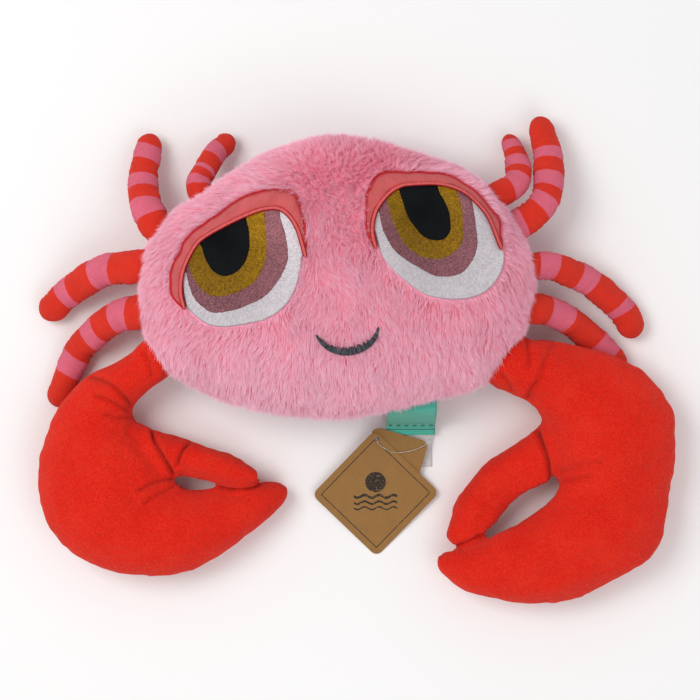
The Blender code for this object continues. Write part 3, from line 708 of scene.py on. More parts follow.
# Which way the pile is combed: out from the whorl, more and more downwards below it, laid on the skin.
def furDirection(points, normals):
    a, b = (np.array(end) for end in furPile["whorl"])
    share = np.clip(((points[:, :2] - a) @ (b - a)) / ((b - a) @ (b - a)), 0, 1)
    out = points[:, :2] - (a + share[:, None] * (b - a))
    away = np.linalg.norm(out, axis=1, keepdims=True)
    out /= np.maximum(away, 1e-6)
    down = 0.9 * (1 - fade(points[:, 1], furPile["downFrom"][1], furPile["downFrom"][0]))
    flow = np.column_stack([out[:, 0], out[:, 1] - down, np.zeros(len(points))])
    below = 1 - fade(points[:, 2], 0.012, 0.040)
    flow = flow * (1 - below[:, None]) + np.array([0, -1.0, 0]) * below[:, None]
    flow[:, 2] -= 0.8 * (1 - np.abs(normals[:, 2]))
    flow -= (flow * normals).sum(axis=1, keepdims=True) * normals
    flow = unit(flow, 1e-6)
    between = 0.45 * np.exp(-(((points[:, 0] - 0.012) / 0.021) ** 2)) * fade(points[:, 1], 0.0, 0.030)
    return flow, np.maximum(np.exp(-((away[:, 0] / 0.020) ** 2)), between) * (points[:, 2] > 0.05)


# Spikes of three sides and a foot, leaning the way they are combed, with tips drawn together in clumps.
def growPile(skin, normals, material):
    a, b = skin[:-1], skin[1:]
    nextA, nextB = np.roll(a, -1, axis=1), np.roll(b, -1, axis=1)
    area = np.linalg.norm(np.cross(nextB - a, nextA - b), axis=2) / 2
    middle = (a + b + nextA + nextB) / 4
    weight = area * (0.30 + 0.70 * fade(middle[..., 2], 0.018, 0.042))
    total = furPile["bunches"] * furPile["spikes"]
    chosen = random.choice(weight.size, int(total * 1.32), p=(weight / weight.sum()).ravel())
    row, column = np.unravel_index(chosen, weight.shape)
    s, t = random.random((2, len(chosen), 1))
    following = (column + 1) % skin.shape[1]
    blend = lambda grid: ((grid[row, column] * (1 - s) + grid[row + 1, column] * s) * (1 - t)
                          + (grid[row, following] * (1 - s) + grid[row + 1, following] * s) * t)
    root, normal = blend(skin), unit(blend(normals))
    gap = np.where(root[:, 2] > 0.04, outsideEyes(root[:, 0], root[:, 1]), 1.0)
    keep = np.flatnonzero(gap > 0.0001)[:total]
    root, normal, gap = root[keep], normal[keep], gap[keep]
    count = len(root)

    flow, whorl = furDirection(root, normal)
    clump, key = clumpOf(root, furPile["clump"])
    wide = softNoise(root, 0.035, 8) * 0.40 + softNoise(root, 0.012, 9) * 0.22
    turn = wide + (hashed(key, 5) - 0.5) * furPile["spread"] + random.normal(0, 0.10, count)
    turn += whorl * (hashed(key, 7) - 0.5) * furPile["whorlSpread"]
    side = np.cross(normal, flow)
    flow = flow * np.cos(turn)[:, None] + side * np.sin(turn)[:, None]
    wisp = random.random(count) < furPile["wisps"]
    lift = furPile["lift"] + 9 * (hashed(key, 6) - 0.5) + random.normal(0, 4, count) + 32 * whorl
    lift = np.radians(lift)
    lift += np.radians(13) * wisp
    eye = np.where(root[:, :1] < 0, eyes["left"]["at"], eyes["right"]["at"])
    away = root[:, :2] - eye
    above = fade(away @ (-0.17, 0.98) / np.linalg.norm(away, axis=1), -0.1, 0.4)
    lift *= fade(root[:, 2], 0.0, 0.012)
    length = furPile["length"] * (0.8 + 0.35 * hashed(key, 8)) * random.uniform(0.8, 1.15, count)
    beside = 1 - fade(gap, 0.0, 0.006)
    length *= (1 - 0.42 * whorl) * (1 - (0.55 - 0.45 * above) * beside)
    lift += 0.45 * beside
    low = 1 - fade(root[:, 1], -0.075, -0.02)
    length *= 1 + 0.15 * low
    reach = length[:, None] * (flow * np.cos(lift)[:, None] + normal * np.sin(lift)[:, None])
    pull = (furPile["clumpPull"] * (1 - wisp) * (1 - 0.3 * low))[:, None] * (clump - root)
    pull -= (pull * normal).sum(axis=1, keepdims=True) * normal
    tip = root + reach + pull
    tipGap = np.where(root[:, 2] > 0.04, outsideEyes(tip[:, 0], tip[:, 1]), 1.0)
    limit = 0.0016 + 0.0012 * above
    over = np.clip((gap + limit) / np.maximum(gap - tipGap, 1e-6), 0.2, 1)
    tip = np.where((tipGap < -limit)[:, None], root + (tip - root) * over[:, None], tip)
    tip[:, 2] = np.maximum(tip[:, 2], 0.0003)

    axis = unit(tip - root, 1e-9)
    side = unit(np.cross(axis, normal), 1e-9)
    up = np.cross(side, axis)
    wide = furPile["width"] / 2 * random.uniform(0.7, 1.35, (count, 1)) * (1 - 0.35 * wisp[:, None])
    foot = root - normal * 0.0007
    corners = np.stack([foot + side * wide, foot - side * wide, foot + up * wide * 0.9, tip], axis=1)
    corners[:, :3, 2] = np.maximum(corners[:, :3, 2], 0.0002)
    # Raising the tone lower down paints the lower pile paler: painted light on the body's lower side.
    tone = hashed(key, 11) * 0.6 + random.random(count) * 0.4 + 0.35 * low
    for number in range(furPile["bunches"]):
        part = slice(number * count // furPile["bunches"], (number + 1) * count // furPile["bunches"])
        points = corners[part].reshape(-1, 3)
        many = len(points) // 4
        base = np.arange(many)[:, None, None] * 4
        triangles = base + np.array([(0, 3, 1), (1, 3, 2), (2, 3, 0), (0, 1, 2)])[None]
        four = points[:4]
        if np.linalg.det(four[[0, 3, 1]] - four.mean(axis=0)) < 0:
            triangles = triangles[..., ::-1]
        values = dict(
            # furAlong: 0 at the foot, 1 at the tip; the coral it gives the foot is partly painted shade, less
            # of it beside the eyes.
            furAlong=np.column_stack([0.45 * beside[part]] * 3 + [np.ones(many)]).ravel(),
            furTone=np.repeat(tone[part], 4),
            furWhorl=np.repeat(whorl[part], 4),
        )
        name = f"furPile{number + 1}"
        piece = newPiece(name, points, (), triangles.reshape(-1, 3), smooth=False, values=values)
        fit(piece, material)
    print("pile", count, "spikes")


# A colour between two others.
def mixed(first, second, share):
    return tuple(a + (b - a) * share for a, b in zip(first, second))


# Pale at the tips and coral at the roots: the pile's own colour and also painted shade deep between the
# strands.
# The whorl is painted darker, as shade where the pile parts. Each spike and each clump has its own tone.
def makeFurMaterial():
    material, n, shader = newMaterial("furPile", 0.8, sheen=0.08, sheenTint=(1.0, 0.8, 0.86), specular=0.15)
    root, middle = furPile["root"], furPile["middle"]
    along, tone, whorl = (readValue(n, label) for label in ("furAlong", "furTone", "furWhorl"))
    colour = n.mix(n.ramp(along, 0.0, 0.5), mixed(root, middle, 0.3), middle)
    colour = n.mix(n.ramp(along, 0.35, 0.95), colour, furPile["tip"])
    # Painted shade in the whorl, with random deeper clumps: both pull the colour towards the root's.
    deep = n.math("ADD", n.ramp(tone, 0.55, 0.05) * 0.5, whorl * 0.5, clamp=True)
    colour = n.mix(deep, colour, mixed(root, middle, 0.4))
    colour = n.mix(n.ramp(tone, 0.65, 1.15) * 0.5 * along, colour, furPile["pale"])
    paint(n, shader, shaded(n, colour, n.noise(objectPoint(n), 38) * 0.16 + 0.92))
    return material


skinGrid, skinNormals = makeSkin()
growPile(skinGrid, skinNormals, makeFurMaterial())


# Each leg: the angle of its root, its widths there and at the tip, the places where its stripes change,
# and its path in millimetres, with the share of the seam's height.
legs = dict(
    leg_left_1=dict(angle=164, widths=(24.5, 20.5), stripes=(8, 21, 32, 43, 56, 69),
                    path=((14, -13, 1), (0, -1, 1), (-5, 6, 0.95), (-9, 15, 0.8), (-12, 34, 0.42),
                          (-10, 51, 0.18), (-7, 67, 0.06))),
    leg_left_2=dict(angle=148, widths=(18.5, 16.8), stripes=(3, 9, 16, 20, 32, 43),
                    path=((9, -18, 1), (0, 0, 1), (-1, 6, 0.9), (1, 12, 0.76), (9, 28, 0.36),
                          (15, 35, 0.16), (20, 42, 0.05))),
    leg_left_3=dict(angle=177, widths=(25, 22.5), stripes=(18, 35, 57, 68),
                    path=((20, 2, 1), (-1, 0, 1), (-15, -1, 0.84), (-29, -4, 0.6), (-53, -18, 0.14),
                          (-63, -27, 0.03), (-72, -35, 0))),
    leg_left_4=dict(angle=190, widths=(25, 20), stripes=(6, 21, 36, 49, 67, 82),
                    path=((24, 5, 1), (1, 0, 1), (-12, -2, 0.8), (-25, -9, 0.54), (-36, -18, 0.26),
                          (-46, -29, 0.08), (-57, -53, 0), (-62, -67, 0))),
    leg_right_1=dict(angle=27, widths=(19.5, 18), stripes=(7, 20, 26, 37, 46, 54), taper=0.3,
                     path=((-12, -6, 1), (2, 1, 1), (9, 5, 0.92), (14, 10, 0.82), (15.5, 18, 0.66),
                           (14, 29, 0.36), (9, 45, 0.08))),
    leg_right_2=dict(angle=16, widths=(22.5, 22.5), taper=0.2,
                     stripes=(-9, 3.5, 17.8, 26.9, 34, 45, 56.8, 66),
                     path=((-15, -10, 1), (0, 0, 1), (10, 7, 0.98), (17, 16, 0.92), (21, 27, 0.78),
                           (21.5, 51, 0.42), (15, 78, 0.16))),
    leg_right_3=dict(angle=3, widths=(20.5, 22.5), stripes=(3.5, 16.5, 35, 49, 74, 82),
                     path=((-21, -1, 1), (-2, 0, 1), (12, 0, 0.88), (25, -4, 0.68), (40, -11, 0.42),
                           (63, -29, 0.07), (75, -49, 0))),
    leg_right_4=dict(angle=351, widths=(23, 20.5), stripes=(11, 31, 60, 76),
                     path=((-21, 4, 1), (-2, 0, 1), (10, -2, 0.8), (23, -7, 0.58), (34, -14, 0.34),
                           (58, -35, 0.03), (64, -45, 0))),
)
legFinish = dict(flatness=0.82, around=46, step=0.00125, pressure=3.0, cap=0.0016, floorGap=0.0004,
                 lumps=0.04, pucker=0.085, puckerLength=0.0062, fold=0.045, foldLength=0.0047,
                 seam=0.05, seamWidth=0.12, roundness=0.0095,
                 red=(0.770, 0.036, 0.018), pink=(0.790, 0.150, 0.230))


# Jersey whose colour changes at each stripe's end, by the length along the leg, with fine knitted wales.
def legMaterial(name, inside, stripes):
    material, n, shader = newMaterial(name, 0.85, sheen=0.10, sheenTint=(1, 0.6, 0.55), specular=0.12)
    along, across = uvParts(n)
    point = objectPoint(n)
    wave = (n.noise(point, 180) - 0.5) * 0.0012
    place = along + wave + n.math("COSINE", across / legFinish["roundness"]) * 0.0011
    pink = 0.0
    for number, stripe in enumerate(stripes):
        edge = n.ramp(place, inside + stripe * mm - 0.00025, inside + stripe * mm + 0.00025)
        pink = edge + pink if number % 2 == 0 else pink - edge
    colour = n.mix(pink, legFinish["red"], legFinish["pink"])
    knit, rows = n.group(threadGroup, along=along, across=across, thread=0.0007, stitch=0.0009, depth=0.12,
                         vary=0.10)
    grain, fine = n.group(grainGroup, point=point, grainSize=0.0009, blotchSize=0.014, grain=0.18,
                          blotches=0.22)
    paint(n, shader, shaded(n, colour, knit * grain), rows + fine * 0.8, 0.00022)
    return material


# Ovals square to a path. Their width follows the leg, with slow lumps of stuffing and a round tip,
# a shallow seam runs along both sides, and puckers cross the inside of the bend.
def makeLeg(name, leg, seed):
    root = edgePoint(leg["angle"])
    rest = leg["widths"][1] * mm * legFinish["flatness"] / 2
    steps = np.array(leg["path"])
    path = np.column_stack([root + steps[:, :2] * mm, rest + (bodyShape["seam"] - rest) * steps[:, 2]])
    curve = smoothCurve(path)
    inside, total = lengthOf(smoothCurve(path[:2])), lengthOf(curve)
    rootHalf, tipHalf = (width * mm / 2 for width in leg["widths"])
    around, straight = legFinish["around"], total - tipHalf
    tipTurn = np.linspace(0, math.pi / 2, 9)[1:-1]
    places = np.concatenate([np.linspace(0, straight, int(straight / legFinish["step"])),
                             straight + tipHalf * np.sin(tipTurn), [total - tipHalf * 0.004]])
    centres = placesAlong(curve, places)
    ahead = unit(np.gradient(centres, axis=0))
    side = unit(np.cross(ahead, (0, 0, 1)))
    up = np.cross(side, ahead)
    half = np.interp(places, [inside, straight], [rootHalf, tipHalf])
    half *= 1 - leg.get("taper", 0.08) * fade(places, total - 3.2 * tipHalf, total)
    past = np.clip((places - straight) / tipHalf, 0, 1)[:, None]
    half = half[:, None] * np.sqrt(1 - past**2)
    bend = np.gradient(np.unwrap(np.arctan2(ahead[:, 1], ahead[:, 0])), places)[:, None]
    turn = np.linspace(0, math.tau, around, endpoint=False)
    length, angle = np.meshgrid(places, turn, indexing="ij")
    spots = np.stack([np.cos(angle) * 0.009, np.sin(angle) * 0.009, length], axis=-1).reshape(-1, 3)
    lumps = softNoise(spots, 0.022, seed) + 0.5 * softNoise(spots, 0.009, seed + 50)
    lumps = (1 + legFinish["lumps"] * lumps).reshape(length.shape)
    shift = 2 * softNoise(spots, 0.03, seed + 9).reshape(length.shape)
    ripple = np.sin(length / legFinish["puckerLength"] * math.tau + shift)
    innerSide = np.clip(np.cos(angle) * -np.sign(bend), 0, 1) ** 1.5 * np.clip(np.abs(bend) / 18, 0, 1)
    lumps -= legFinish["pucker"] * innerSide * (0.5 + 0.5 * ripple)
    beside = np.exp(-((np.sin(angle) / 0.45) ** 2)) * (1 - past)
    folds = 0.5 + 0.5 * np.sin(length / legFinish["foldLength"] * math.tau + 3 * ripple)
    lumps -= legFinish["fold"] * beside * folds
    seam = np.exp(-((np.sin(angle) / legFinish["seamWidth"]) ** 2)) * (1 - past * 0.4)
    lumps -= legFinish["seam"] * seam
    size = half * lumps
    rings = centres[:, None] + side[:, None] * (np.cos(turn) * size)[..., None] \
        + up[:, None] * (np.sin(turn) * size * legFinish["flatness"])[..., None]
    rings[..., 2] = np.maximum(rings[..., 2], legFinish["floorGap"])
    roundLengths = np.linspace(0, math.tau * legFinish["roundness"], around + 1)
    piece = closedTube(name.replace("_", ""), rings, places, roundLengths)
    held = np.repeat(1 - fade(places, inside - 0.004, inside + 0.006), around)
    puffUp(piece, legFinish["pressure"], legFinish["cap"], np.concatenate([held, [1, 0]]))
    points = pointsOf(piece)
    points[:, 2] = np.maximum(points[:, 2], legFinish["floorGap"])
    setPoints(piece, points)
    material = legMaterial("jersey" + name[3:].title().replace("_", ""), inside, leg["stripes"])
    fit(piece, material, [name])


for number, (name, leg) in enumerate(legs.items()):
    makeLeg(name, leg, 20 + number)
print("legs")


# Each fold of a claw is a line on the upper side, in millimetres, with its depth, its width and its step:
# how much higher the side to the left of the line lies.
claws = dict(
    claw_left=(
        (((-115.5, -137.5), (-119, -131), (-122.5, -124.5), (-127.3, -115), (-131, -105), (-133, -101)),
         3.5, 1.3, 0.0),
        (((-111.5, -131.5), (-109.5, -124.5), (-106.5, -119), (-101.5, -114)), 2.6, 1.2, 0.0),
        (((-172, -69.5), (-163, -72.5), (-155, -77), (-148, -84), (-143.5, -91)), 1.9, 2.0, 0.0),
        (((-168.5, -83), (-158, -86.5), (-146.5, -94)), 1.5, 1.6, 0.0),
        (((-161, -96), (-153, -98.5), (-145, -98.5)), 1.2, 1.6, 0.0),
        (((-134, -53), (-130.5, -60), (-128.5, -69)), 1.2, 1.8, 0.0),
        (((-137, -148.5), (-127, -143.5), (-117.5, -142)), 1.7, 1.6, 0.0),
        (((-133, -157), (-124, -151.5), (-115.5, -147.5)), 1.3, 1.7, 0.0),
        (((-83, -147), (-75, -148.5), (-65.5, -148.6), (-58.5, -147.4), (-54.2, -144.5)), 2.3, 1.2, 2.6),
    ),
    claw_right=(
        (((151.5, -141), (149.8, -135.5), (146.5, -124), (142.6, -113), (140.2, -104), (139.6, -100)),
         3.6, 1.45, 1.0),
        (((150, -47), (146.2, -54.6), (141.3, -68.5), (134.8, -84.5)), 1.1, 2.4, 0.0),
        (((138.5, -73), (134.5, -79), (132.8, -86)), 1.6, 1.2, 0.0),
        (((132.3, -40), (133, -51.1), (133.7, -62.2)), 1.5, 1.6, 0.0),
        (((114, -68), (119, -74), (123, -83)), 1.5, 1.8, 0.0),
        (((153, -144), (164, -142), (176, -139)), 1.0, 2.6, 0.0),
        (((158, -136), (170, -131), (183, -129)), 0.8, 3.2, 0.0),
        (((100, -181.5), (95, -184.8), (89, -187.6), (84, -189.6)), 1.6, 1.3, -2.0),
    ),
)
# Walls that stand out further, round each gap: a line in millimetres, how far its left and its right side
# come, and how wide this reaches.
swells = dict(
    claw_left=((((-109, -144.5), (-90, -145.5)), 1.1, 1.7, 8.0),),
    claw_right=((((143, -147), (129, -160), (115, -174)), 3.2, 7.2, 14.0),
                (((76, -190), (77, -184)), 4.6, 2.5, 11.0)),
)
fleece = dict(voxel=0.0026, shrink=0.0009, pressure=4.0, cap=0.0022, tuck=0.0045, floorGap=0.0004,
              swell=0.0006, dimple=0.00022, sideSeam=0.0011, red=(0.760, 0.011, 0.004),
              lit=(0.900, 0.044, 0.019))


# Short nap: a speckle of lit and shaded fibres over fine grain, with a soft light edge from the sheen, and
# painted shade darkening the colour along the folds.
def fleeceMaterial():
    material, n, shader = newMaterial("fleece", 0.88, sheen=0.18, sheenTint=(1, 0.45, 0.35), specular=0.12)
    point = objectPoint(n)
    speckle = n.ramp(n.noise(point, 950, 2, 0.6), 0.42, 0.60)
    nap = n.ramp(n.noise(point, 45, 3, 0.6), 0.35, 0.75)
    colour = n.mix(speckle * 0.42 + nap * 0.25, fleece["red"], fleece["lit"])
    grain, fine = n.group(grainGroup, point=point, grainSize=0.0009, blotchSize=0.03, grain=0.36,
                          blotches=0.16)
    curl = n.math("SINE", n.noise(point, 230) * 22.0)
    height = fine + n.noise(point, 480, 3) * 1.2 + curl * 0.16
    # The fold value darkens the colour by up to 48%: painted shade in the creases.
    paint(n, shader, shaded(n, colour, grain * (1.0 - readValue(n, "fold") * 0.48)), height, 0.0010)
    return material


# Distance from each point to a line of segments, seen from above, and 1 or -1 for its left or right side.
def lineGap(points, line):
    a, b = line[:-1], line[1:]
    step = b - a
    share = ((points[:, None] - a) * step).sum(axis=2) / (step**2).sum(axis=1)
    off = points[:, None] - (a + np.clip(share, 0, 1)[..., None] * step)
    gap = np.linalg.norm(off, axis=2)
    nearest = gap.argmin(axis=1)
    row = np.arange(len(points))
    cross = step[nearest, 0] * off[row, nearest, 1] - step[nearest, 1] * off[row, nearest, 0]
    return gap[row, nearest], np.sign(cross)


# The solid's own shape, made again from even voxels, shrunk, filled by the cloth and given creases at its
# folds, which also get painted shade in their colour.
def makeClaw(name, folds, bulges, seed):
    piece = bpy.data.objects.new(name.replace("_", ""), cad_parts[name].data.copy())
    bpy.context.scene.collection.objects.link(piece)
    piece.data.materials.clear()
    weld = piece.modifiers.new("weld", "WELD")
    weld.merge_threshold = 0.00002
    voxels = piece.modifiers.new("voxels", "REMESH")
    voxels.mode, voxels.voxel_size, voxels.use_smooth_shade = "VOXEL", fleece["voxel"], True
    applyModifiers(piece)
    points = relax(pointsOf(piece), edgesOf(piece), 6)
    setPoints(piece, points)
    points = points - normalsOf(piece) * fleece["shrink"]
    tuck = (1 - fade(outsideBody(points), 0.0005, 0.006))[:, None]
    points -= unit(points * (1, 1, 0)) * fleece["tuck"] * tuck
    setPoints(piece, points)
    puffUp(piece, fleece["pressure"], fleece["cap"], (tuck[:, 0] > 0.3).astype(float))
    setPoints(piece, relax(pointsOf(piece), edgesOf(piece), 2, 0.4))
    smooth = piece.modifiers.new("smooth", "SUBSURF")
    smooth.levels = smooth.render_levels = 1
    applyModifiers(piece)
    points, normals = pointsOf(piece), normalsOf(piece)
    top = fade(normals[:, 2], 0.05, 0.5)
    push, paintedFoldShade = np.zeros(len(points)), np.zeros(len(points))
    for line, depth, width, step in folds:
        gap, side = lineGap(points[:, :2], smoothCurve(np.array(line) * mm, steps=6))
        gap = gap / (width * mm)
        push -= depth * mm * top * (np.exp(-(gap**2)) - 0.28 * np.exp(-((gap - 2.6) ** 2) * 0.5))
        push += step * mm / 2 * top * side * np.tanh(gap * 1.5) * np.exp(-((gap * width / 7) ** 2))
        # Painted shade: how much the fleece colour darkens along this crease.
        paintedFoldShade = np.maximum(paintedFoldShade, top * np.exp(-((gap * 1.25) ** 2)) * min(1, depth / 2.8))
    for line, left, right, reach in bulges:
        gap, side = lineGap(points[:, :2], np.array(line) * mm)
        wall = fade(1 - np.abs(normals[:, 2]), 0.05, 0.6) * np.exp(-((gap / (reach * mm)) ** 2))
        push += np.where(side > 0, left, right) * mm * wall
    push += fleece["swell"] * softNoise(points, 0.028, seed)
    push += fleece["dimple"] * softNoise(points, 0.010, seed + 1)
    beside = np.exp(-((normals[:, 2] / 0.10) ** 2)) * fade(outsideBody(points), 0.004, 0.01)
    push -= fleece["sideSeam"] * beside
    points = points + normals * push[:, None]
    points[:, 2] = np.maximum(points[:, 2], fleece["floorGap"])
    setPoints(piece, points)
    piece.data.attributes.new("fold", "FLOAT", "POINT").data.foreach_set("value", paintedFoldShade.astype(np.float32))
    piece.data.polygons.foreach_set("use_smooth", np.full(len(piece.data.polygons), True))
    fit(piece, fleeceFinish, [name])
    print(name, len(points), "points")


fleeceFinish = fleeceMaterial()
for number, (name, folds) in enumerate(claws.items()):
    makeClaw(name, folds, swells[name], 70 + number)


# Layers of thread on the face, from the white to the pupil.
embroidery = dict(
    base=0.0002, rise=0.0004, layer=0.00042, edge=0.0011, jag=0.00022, columns=224,
    colours=dict(white=(0.850, 0.785, 0.835), mauve=(0.415, 0.160, 0.190), gold=(0.410, 0.205, 0.004),
                 pupil=(0.0030, 0.0042, 0.0050)),
    slots=dict(white="thread_white", mauve="thread_mauve", gold="thread_gold", pupil="thread_black"),
)


# Embroidery thread: rows of stitches by the piece's UV lengths, each a little lighter or darker. Bars can be
# painted darker at their sides, as shade. Layers get painted shade on the side away from their upper right,
# where the threads catch less sheen, and near their edge specks: painted highlights on the gold, dark specks
# on the mauve.
def threadMaterial(name, colour, thread, stitch, depth, vary, relief=0.00025, dull=False, specks=None,
                   sides=None, crosswise=False):
    material, n, shader = newMaterial(name, 0.6, specular=0.08 if dull else 0.18)
    along, across = uvParts(n)[:: -1 if crosswise else 1]
    rows, height = n.group(threadGroup, along=along, across=across, thread=thread, stitch=stitch, depth=depth,
                           vary=vary)
    grain, fine = n.group(grainGroup, point=objectPoint(n), grainSize=0.0010, blotchSize=0.012,
                          grain=vary * 1.2, blotches=0.12)
    if sides:
        # Painted shade: the bar's colour turns darker towards its sides.
        colour = n.mix(n.ramp(n.math("ABSOLUTE", readValue(n, "barAcross")), 0.40, 0.62), colour, sides)
    colour = shaded(n, colour, rows * grain)
    if not crosswise:
        # Painted shade: each layer is darker on the side away from its upper right, where its threads catch
        # less sheen.
        colour = shaded(n, colour, 1.0 - readValue(n, "paintedSheenShade") * (0.34 if specks else 0.22))
    # Specks near the layer's edge; the gold's pale specks are painted highlights.
    if specks:
        dots = n.ramp(n.noise(objectPoint(n), 900, 1), 0.60, 0.68)
        dots *= n.ramp(readValue(n, "inFromEdge"), 0.0016, 0.0004)
        colour = n.mix(dots * 0.7, colour, specks)
    paint(n, shader, colour, height + fine * 0.5, relief)
    return material


threadColours = embroidery["colours"]
threadFinish = dict(
    white=threadMaterial("threadWhite", threadColours["white"], 0.0006, 0.0014, 0.20, 0.26),
    mauve=threadMaterial("threadMauve", threadColours["mauve"], 0.00042, 0.0009, 0.25, 0.85,
                         specks=(0.10, 0.11, 0.11)),
    # The gold's pale specks near its edge are painted highlights.
    gold=threadMaterial("threadGold", threadColours["gold"], 0.00042, 0.0009, 0.25, 0.95,
                        specks=(0.70, 0.50, 0.30)),
    pupil=threadMaterial("threadBlack", threadColours["pupil"], 0.0007, 0.0030, 0.30, 0.60, dull=True),
)


# A layer of thread: rings from its middle to a jagged edge that rolls down, then back below to the middle.
def makeField(side, eye, field, layer, seed):
    corners = np.array(eye["fields"][field]) * mm + eye["at"]
    loop = smoothCurve(corners, closed=True)
    loop = np.concatenate([loop, loop[:1]])
    centre = (corners.max(axis=0) + corners.min(axis=0)) / 2
    columns, low = embroidery["columns"], embroidery["base"]
    angles = np.linspace(0, math.tau, columns, endpoint=False)
    edge = np.minimum(reachOf(loop, centre, angles), reachOf(eye["inner"], centre, angles) + 0.0018)
    draw = np.random.default_rng(seed)
    jag = draw.uniform(-1, 1, columns) * embroidery["jag"] * (2.6 if field in ("mauve", "gold") else 0.9)
    shares = np.array([0.03, 0.2, 0.36, 0.5, 0.62, 0.73, 0.82, 0.89, 0.94, 0.975, 1.0])
    radius = shares[:, None] * edge[None] + jag[None] * fade(shares, 0.8, 1)[:, None]
    plan = np.stack([centre[0] + radius * np.cos(angles), centre[1] + radius * np.sin(angles)], axis=2)
    fromEdge = np.clip((edge[None] - radius) / embroidery["edge"], 0, 1)
    rise = embroidery["rise"] + layer * embroidery["layer"]
    height = low + rise * np.sqrt(1 - (1 - fromEdge) ** 2) * 0.999 + 0.00003
    height += 0.00012 * softNoise(plan.reshape(-1, 2), 0.014, seed + 3).reshape(radius.shape) * fromEdge
    withUnderside = lambda rows, below: np.concatenate([rows, below[::-1][1::3]])  # every third row goes back
    rings = withUnderside(onFace(plan, height), onFace(plan, low - 0.0004))
    length, inward = edge.mean(), edge[None] - radius
    inward = withUnderside(inward, inward)
    # 0 at the upper right and 1 opposite: how much painted shade each point gets.
    away = np.broadcast_to(0.5 - 0.5 * np.cos(angles - 0.9), inward.shape)
    rows, around = withUnderside(shares, shares) * length, np.linspace(0, math.tau * length, columns + 1)
    piece = closedTube(field + "Thread" + side, rings, rows, around, dict(inFromEdge=inward, paintedSheenShade=away))
    fit(piece, threadFinish[field], [f"eye_{field}_{side.lower()}"])


lids = dict(height=0.0040, outerWidth=0.0015, outerHeight=0.0014, innerWidth=0.0034, innerHeight=0.0024,
            satin=(0.700, 0.118, 0.122), stitchRed=(0.610, 0.024, 0.032), band=(0.700, 0.118, 0.116),
            # bandSideShade is the darker colour of the band's sides: painted shade.
            bandSideShade=(0.340, 0.007, 0.012))


# Woven satin: very fine rows across, a soft gloss, and stitched red at its edges.
def satinMaterial():
    material, n, shader = newMaterial("satinCoral", 0.5, sheen=0.06, sheenTint=(1, 0.7, 0.7), specular=0.22)
    along, across = uvParts(n)
    rows, height = n.group(weaveGroup, along=along, across=across, yarn=0.00045, depth=0.10)
    grain, fine = n.group(grainGroup, point=objectPoint(n), grainSize=0.0009, blotchSize=0.010, grain=0.60,
                          blotches=0.35)
    share = readValue(n, "lidShare")
    rim = n.math("MINIMUM", n.ramp(share, 0.02, 0.22), n.ramp(share, 1.0, 0.72))
    colour = shaded(n, n.mix(rim, lids["stitchRed"], lids["satin"]), rows * grain)
    paint(n, shader, colour, height + fine * 2.5, 0.00015)
    return material


satinFinish = satinMaterial()
lidStitchFinish = threadMaterial("threadRed", lids["stitchRed"], 0.0008, 0.03, 0.3, 0.3, 0.0001,
                                 crosswise=True)
bandFinish = threadMaterial("threadBand", lids["band"], 0.0008, 0.03, 0.2, 0.16, 0.0001,
                            sides=lids["bandSideShade"], crosswise=True)


# Satin between two lines on the face. It bows up across its width, and puckers run in from its edges.
def makeLid(side, eye, seed):
    shares = np.linspace(0, 1, 25)
    first, second = eye["outer"][2:-2], eye["inner"][2:-2]
    plan = first[:, None] + (second - first)[:, None] * shares[None, :, None]
    wide = np.clip(np.linalg.norm(second - first, axis=1) / 0.011, 0.25, 1)[:, None]
    bow = np.sqrt(np.clip(1 - (2 * shares - 1) ** 2, 0, 1))[None] * lids["height"] * wide
    along = np.linspace(0, lengthOf(first), len(first))
    spots = np.column_stack([np.repeat(along, 25), np.tile(shares * 0.006, len(first))])
    pucker = softNoise(spots, 0.007, seed).reshape(bow.shape)
    pucker *= (np.exp(-((shares - 0.15) / 0.3) ** 2) + 0.5 * shares)[None]
    folds = softNoise(plan.reshape(-1, 2), 0.017, seed + 4).reshape(bow.shape)
    lift = 0.0005 + np.maximum(bow * (1 + 0.18 * folds + 0.22 * pucker), 0)
    back = slice(4, -4, 4)  # the underside goes back with every fourth point
    rings = np.concatenate([onFace(plan, lift + 0.0003), onFace(plan[:, ::-1][:, back], 0.0001)], axis=1)
    share = np.broadcast_to(np.concatenate([shares, shares[::-1][back]]), rings.shape[:2])
    piece = closedTube("lidSatin" + side, rings, along, values=dict(lidShare=share))
    fit(piece, satinFinish, ["eyelid_" + side.lower()])


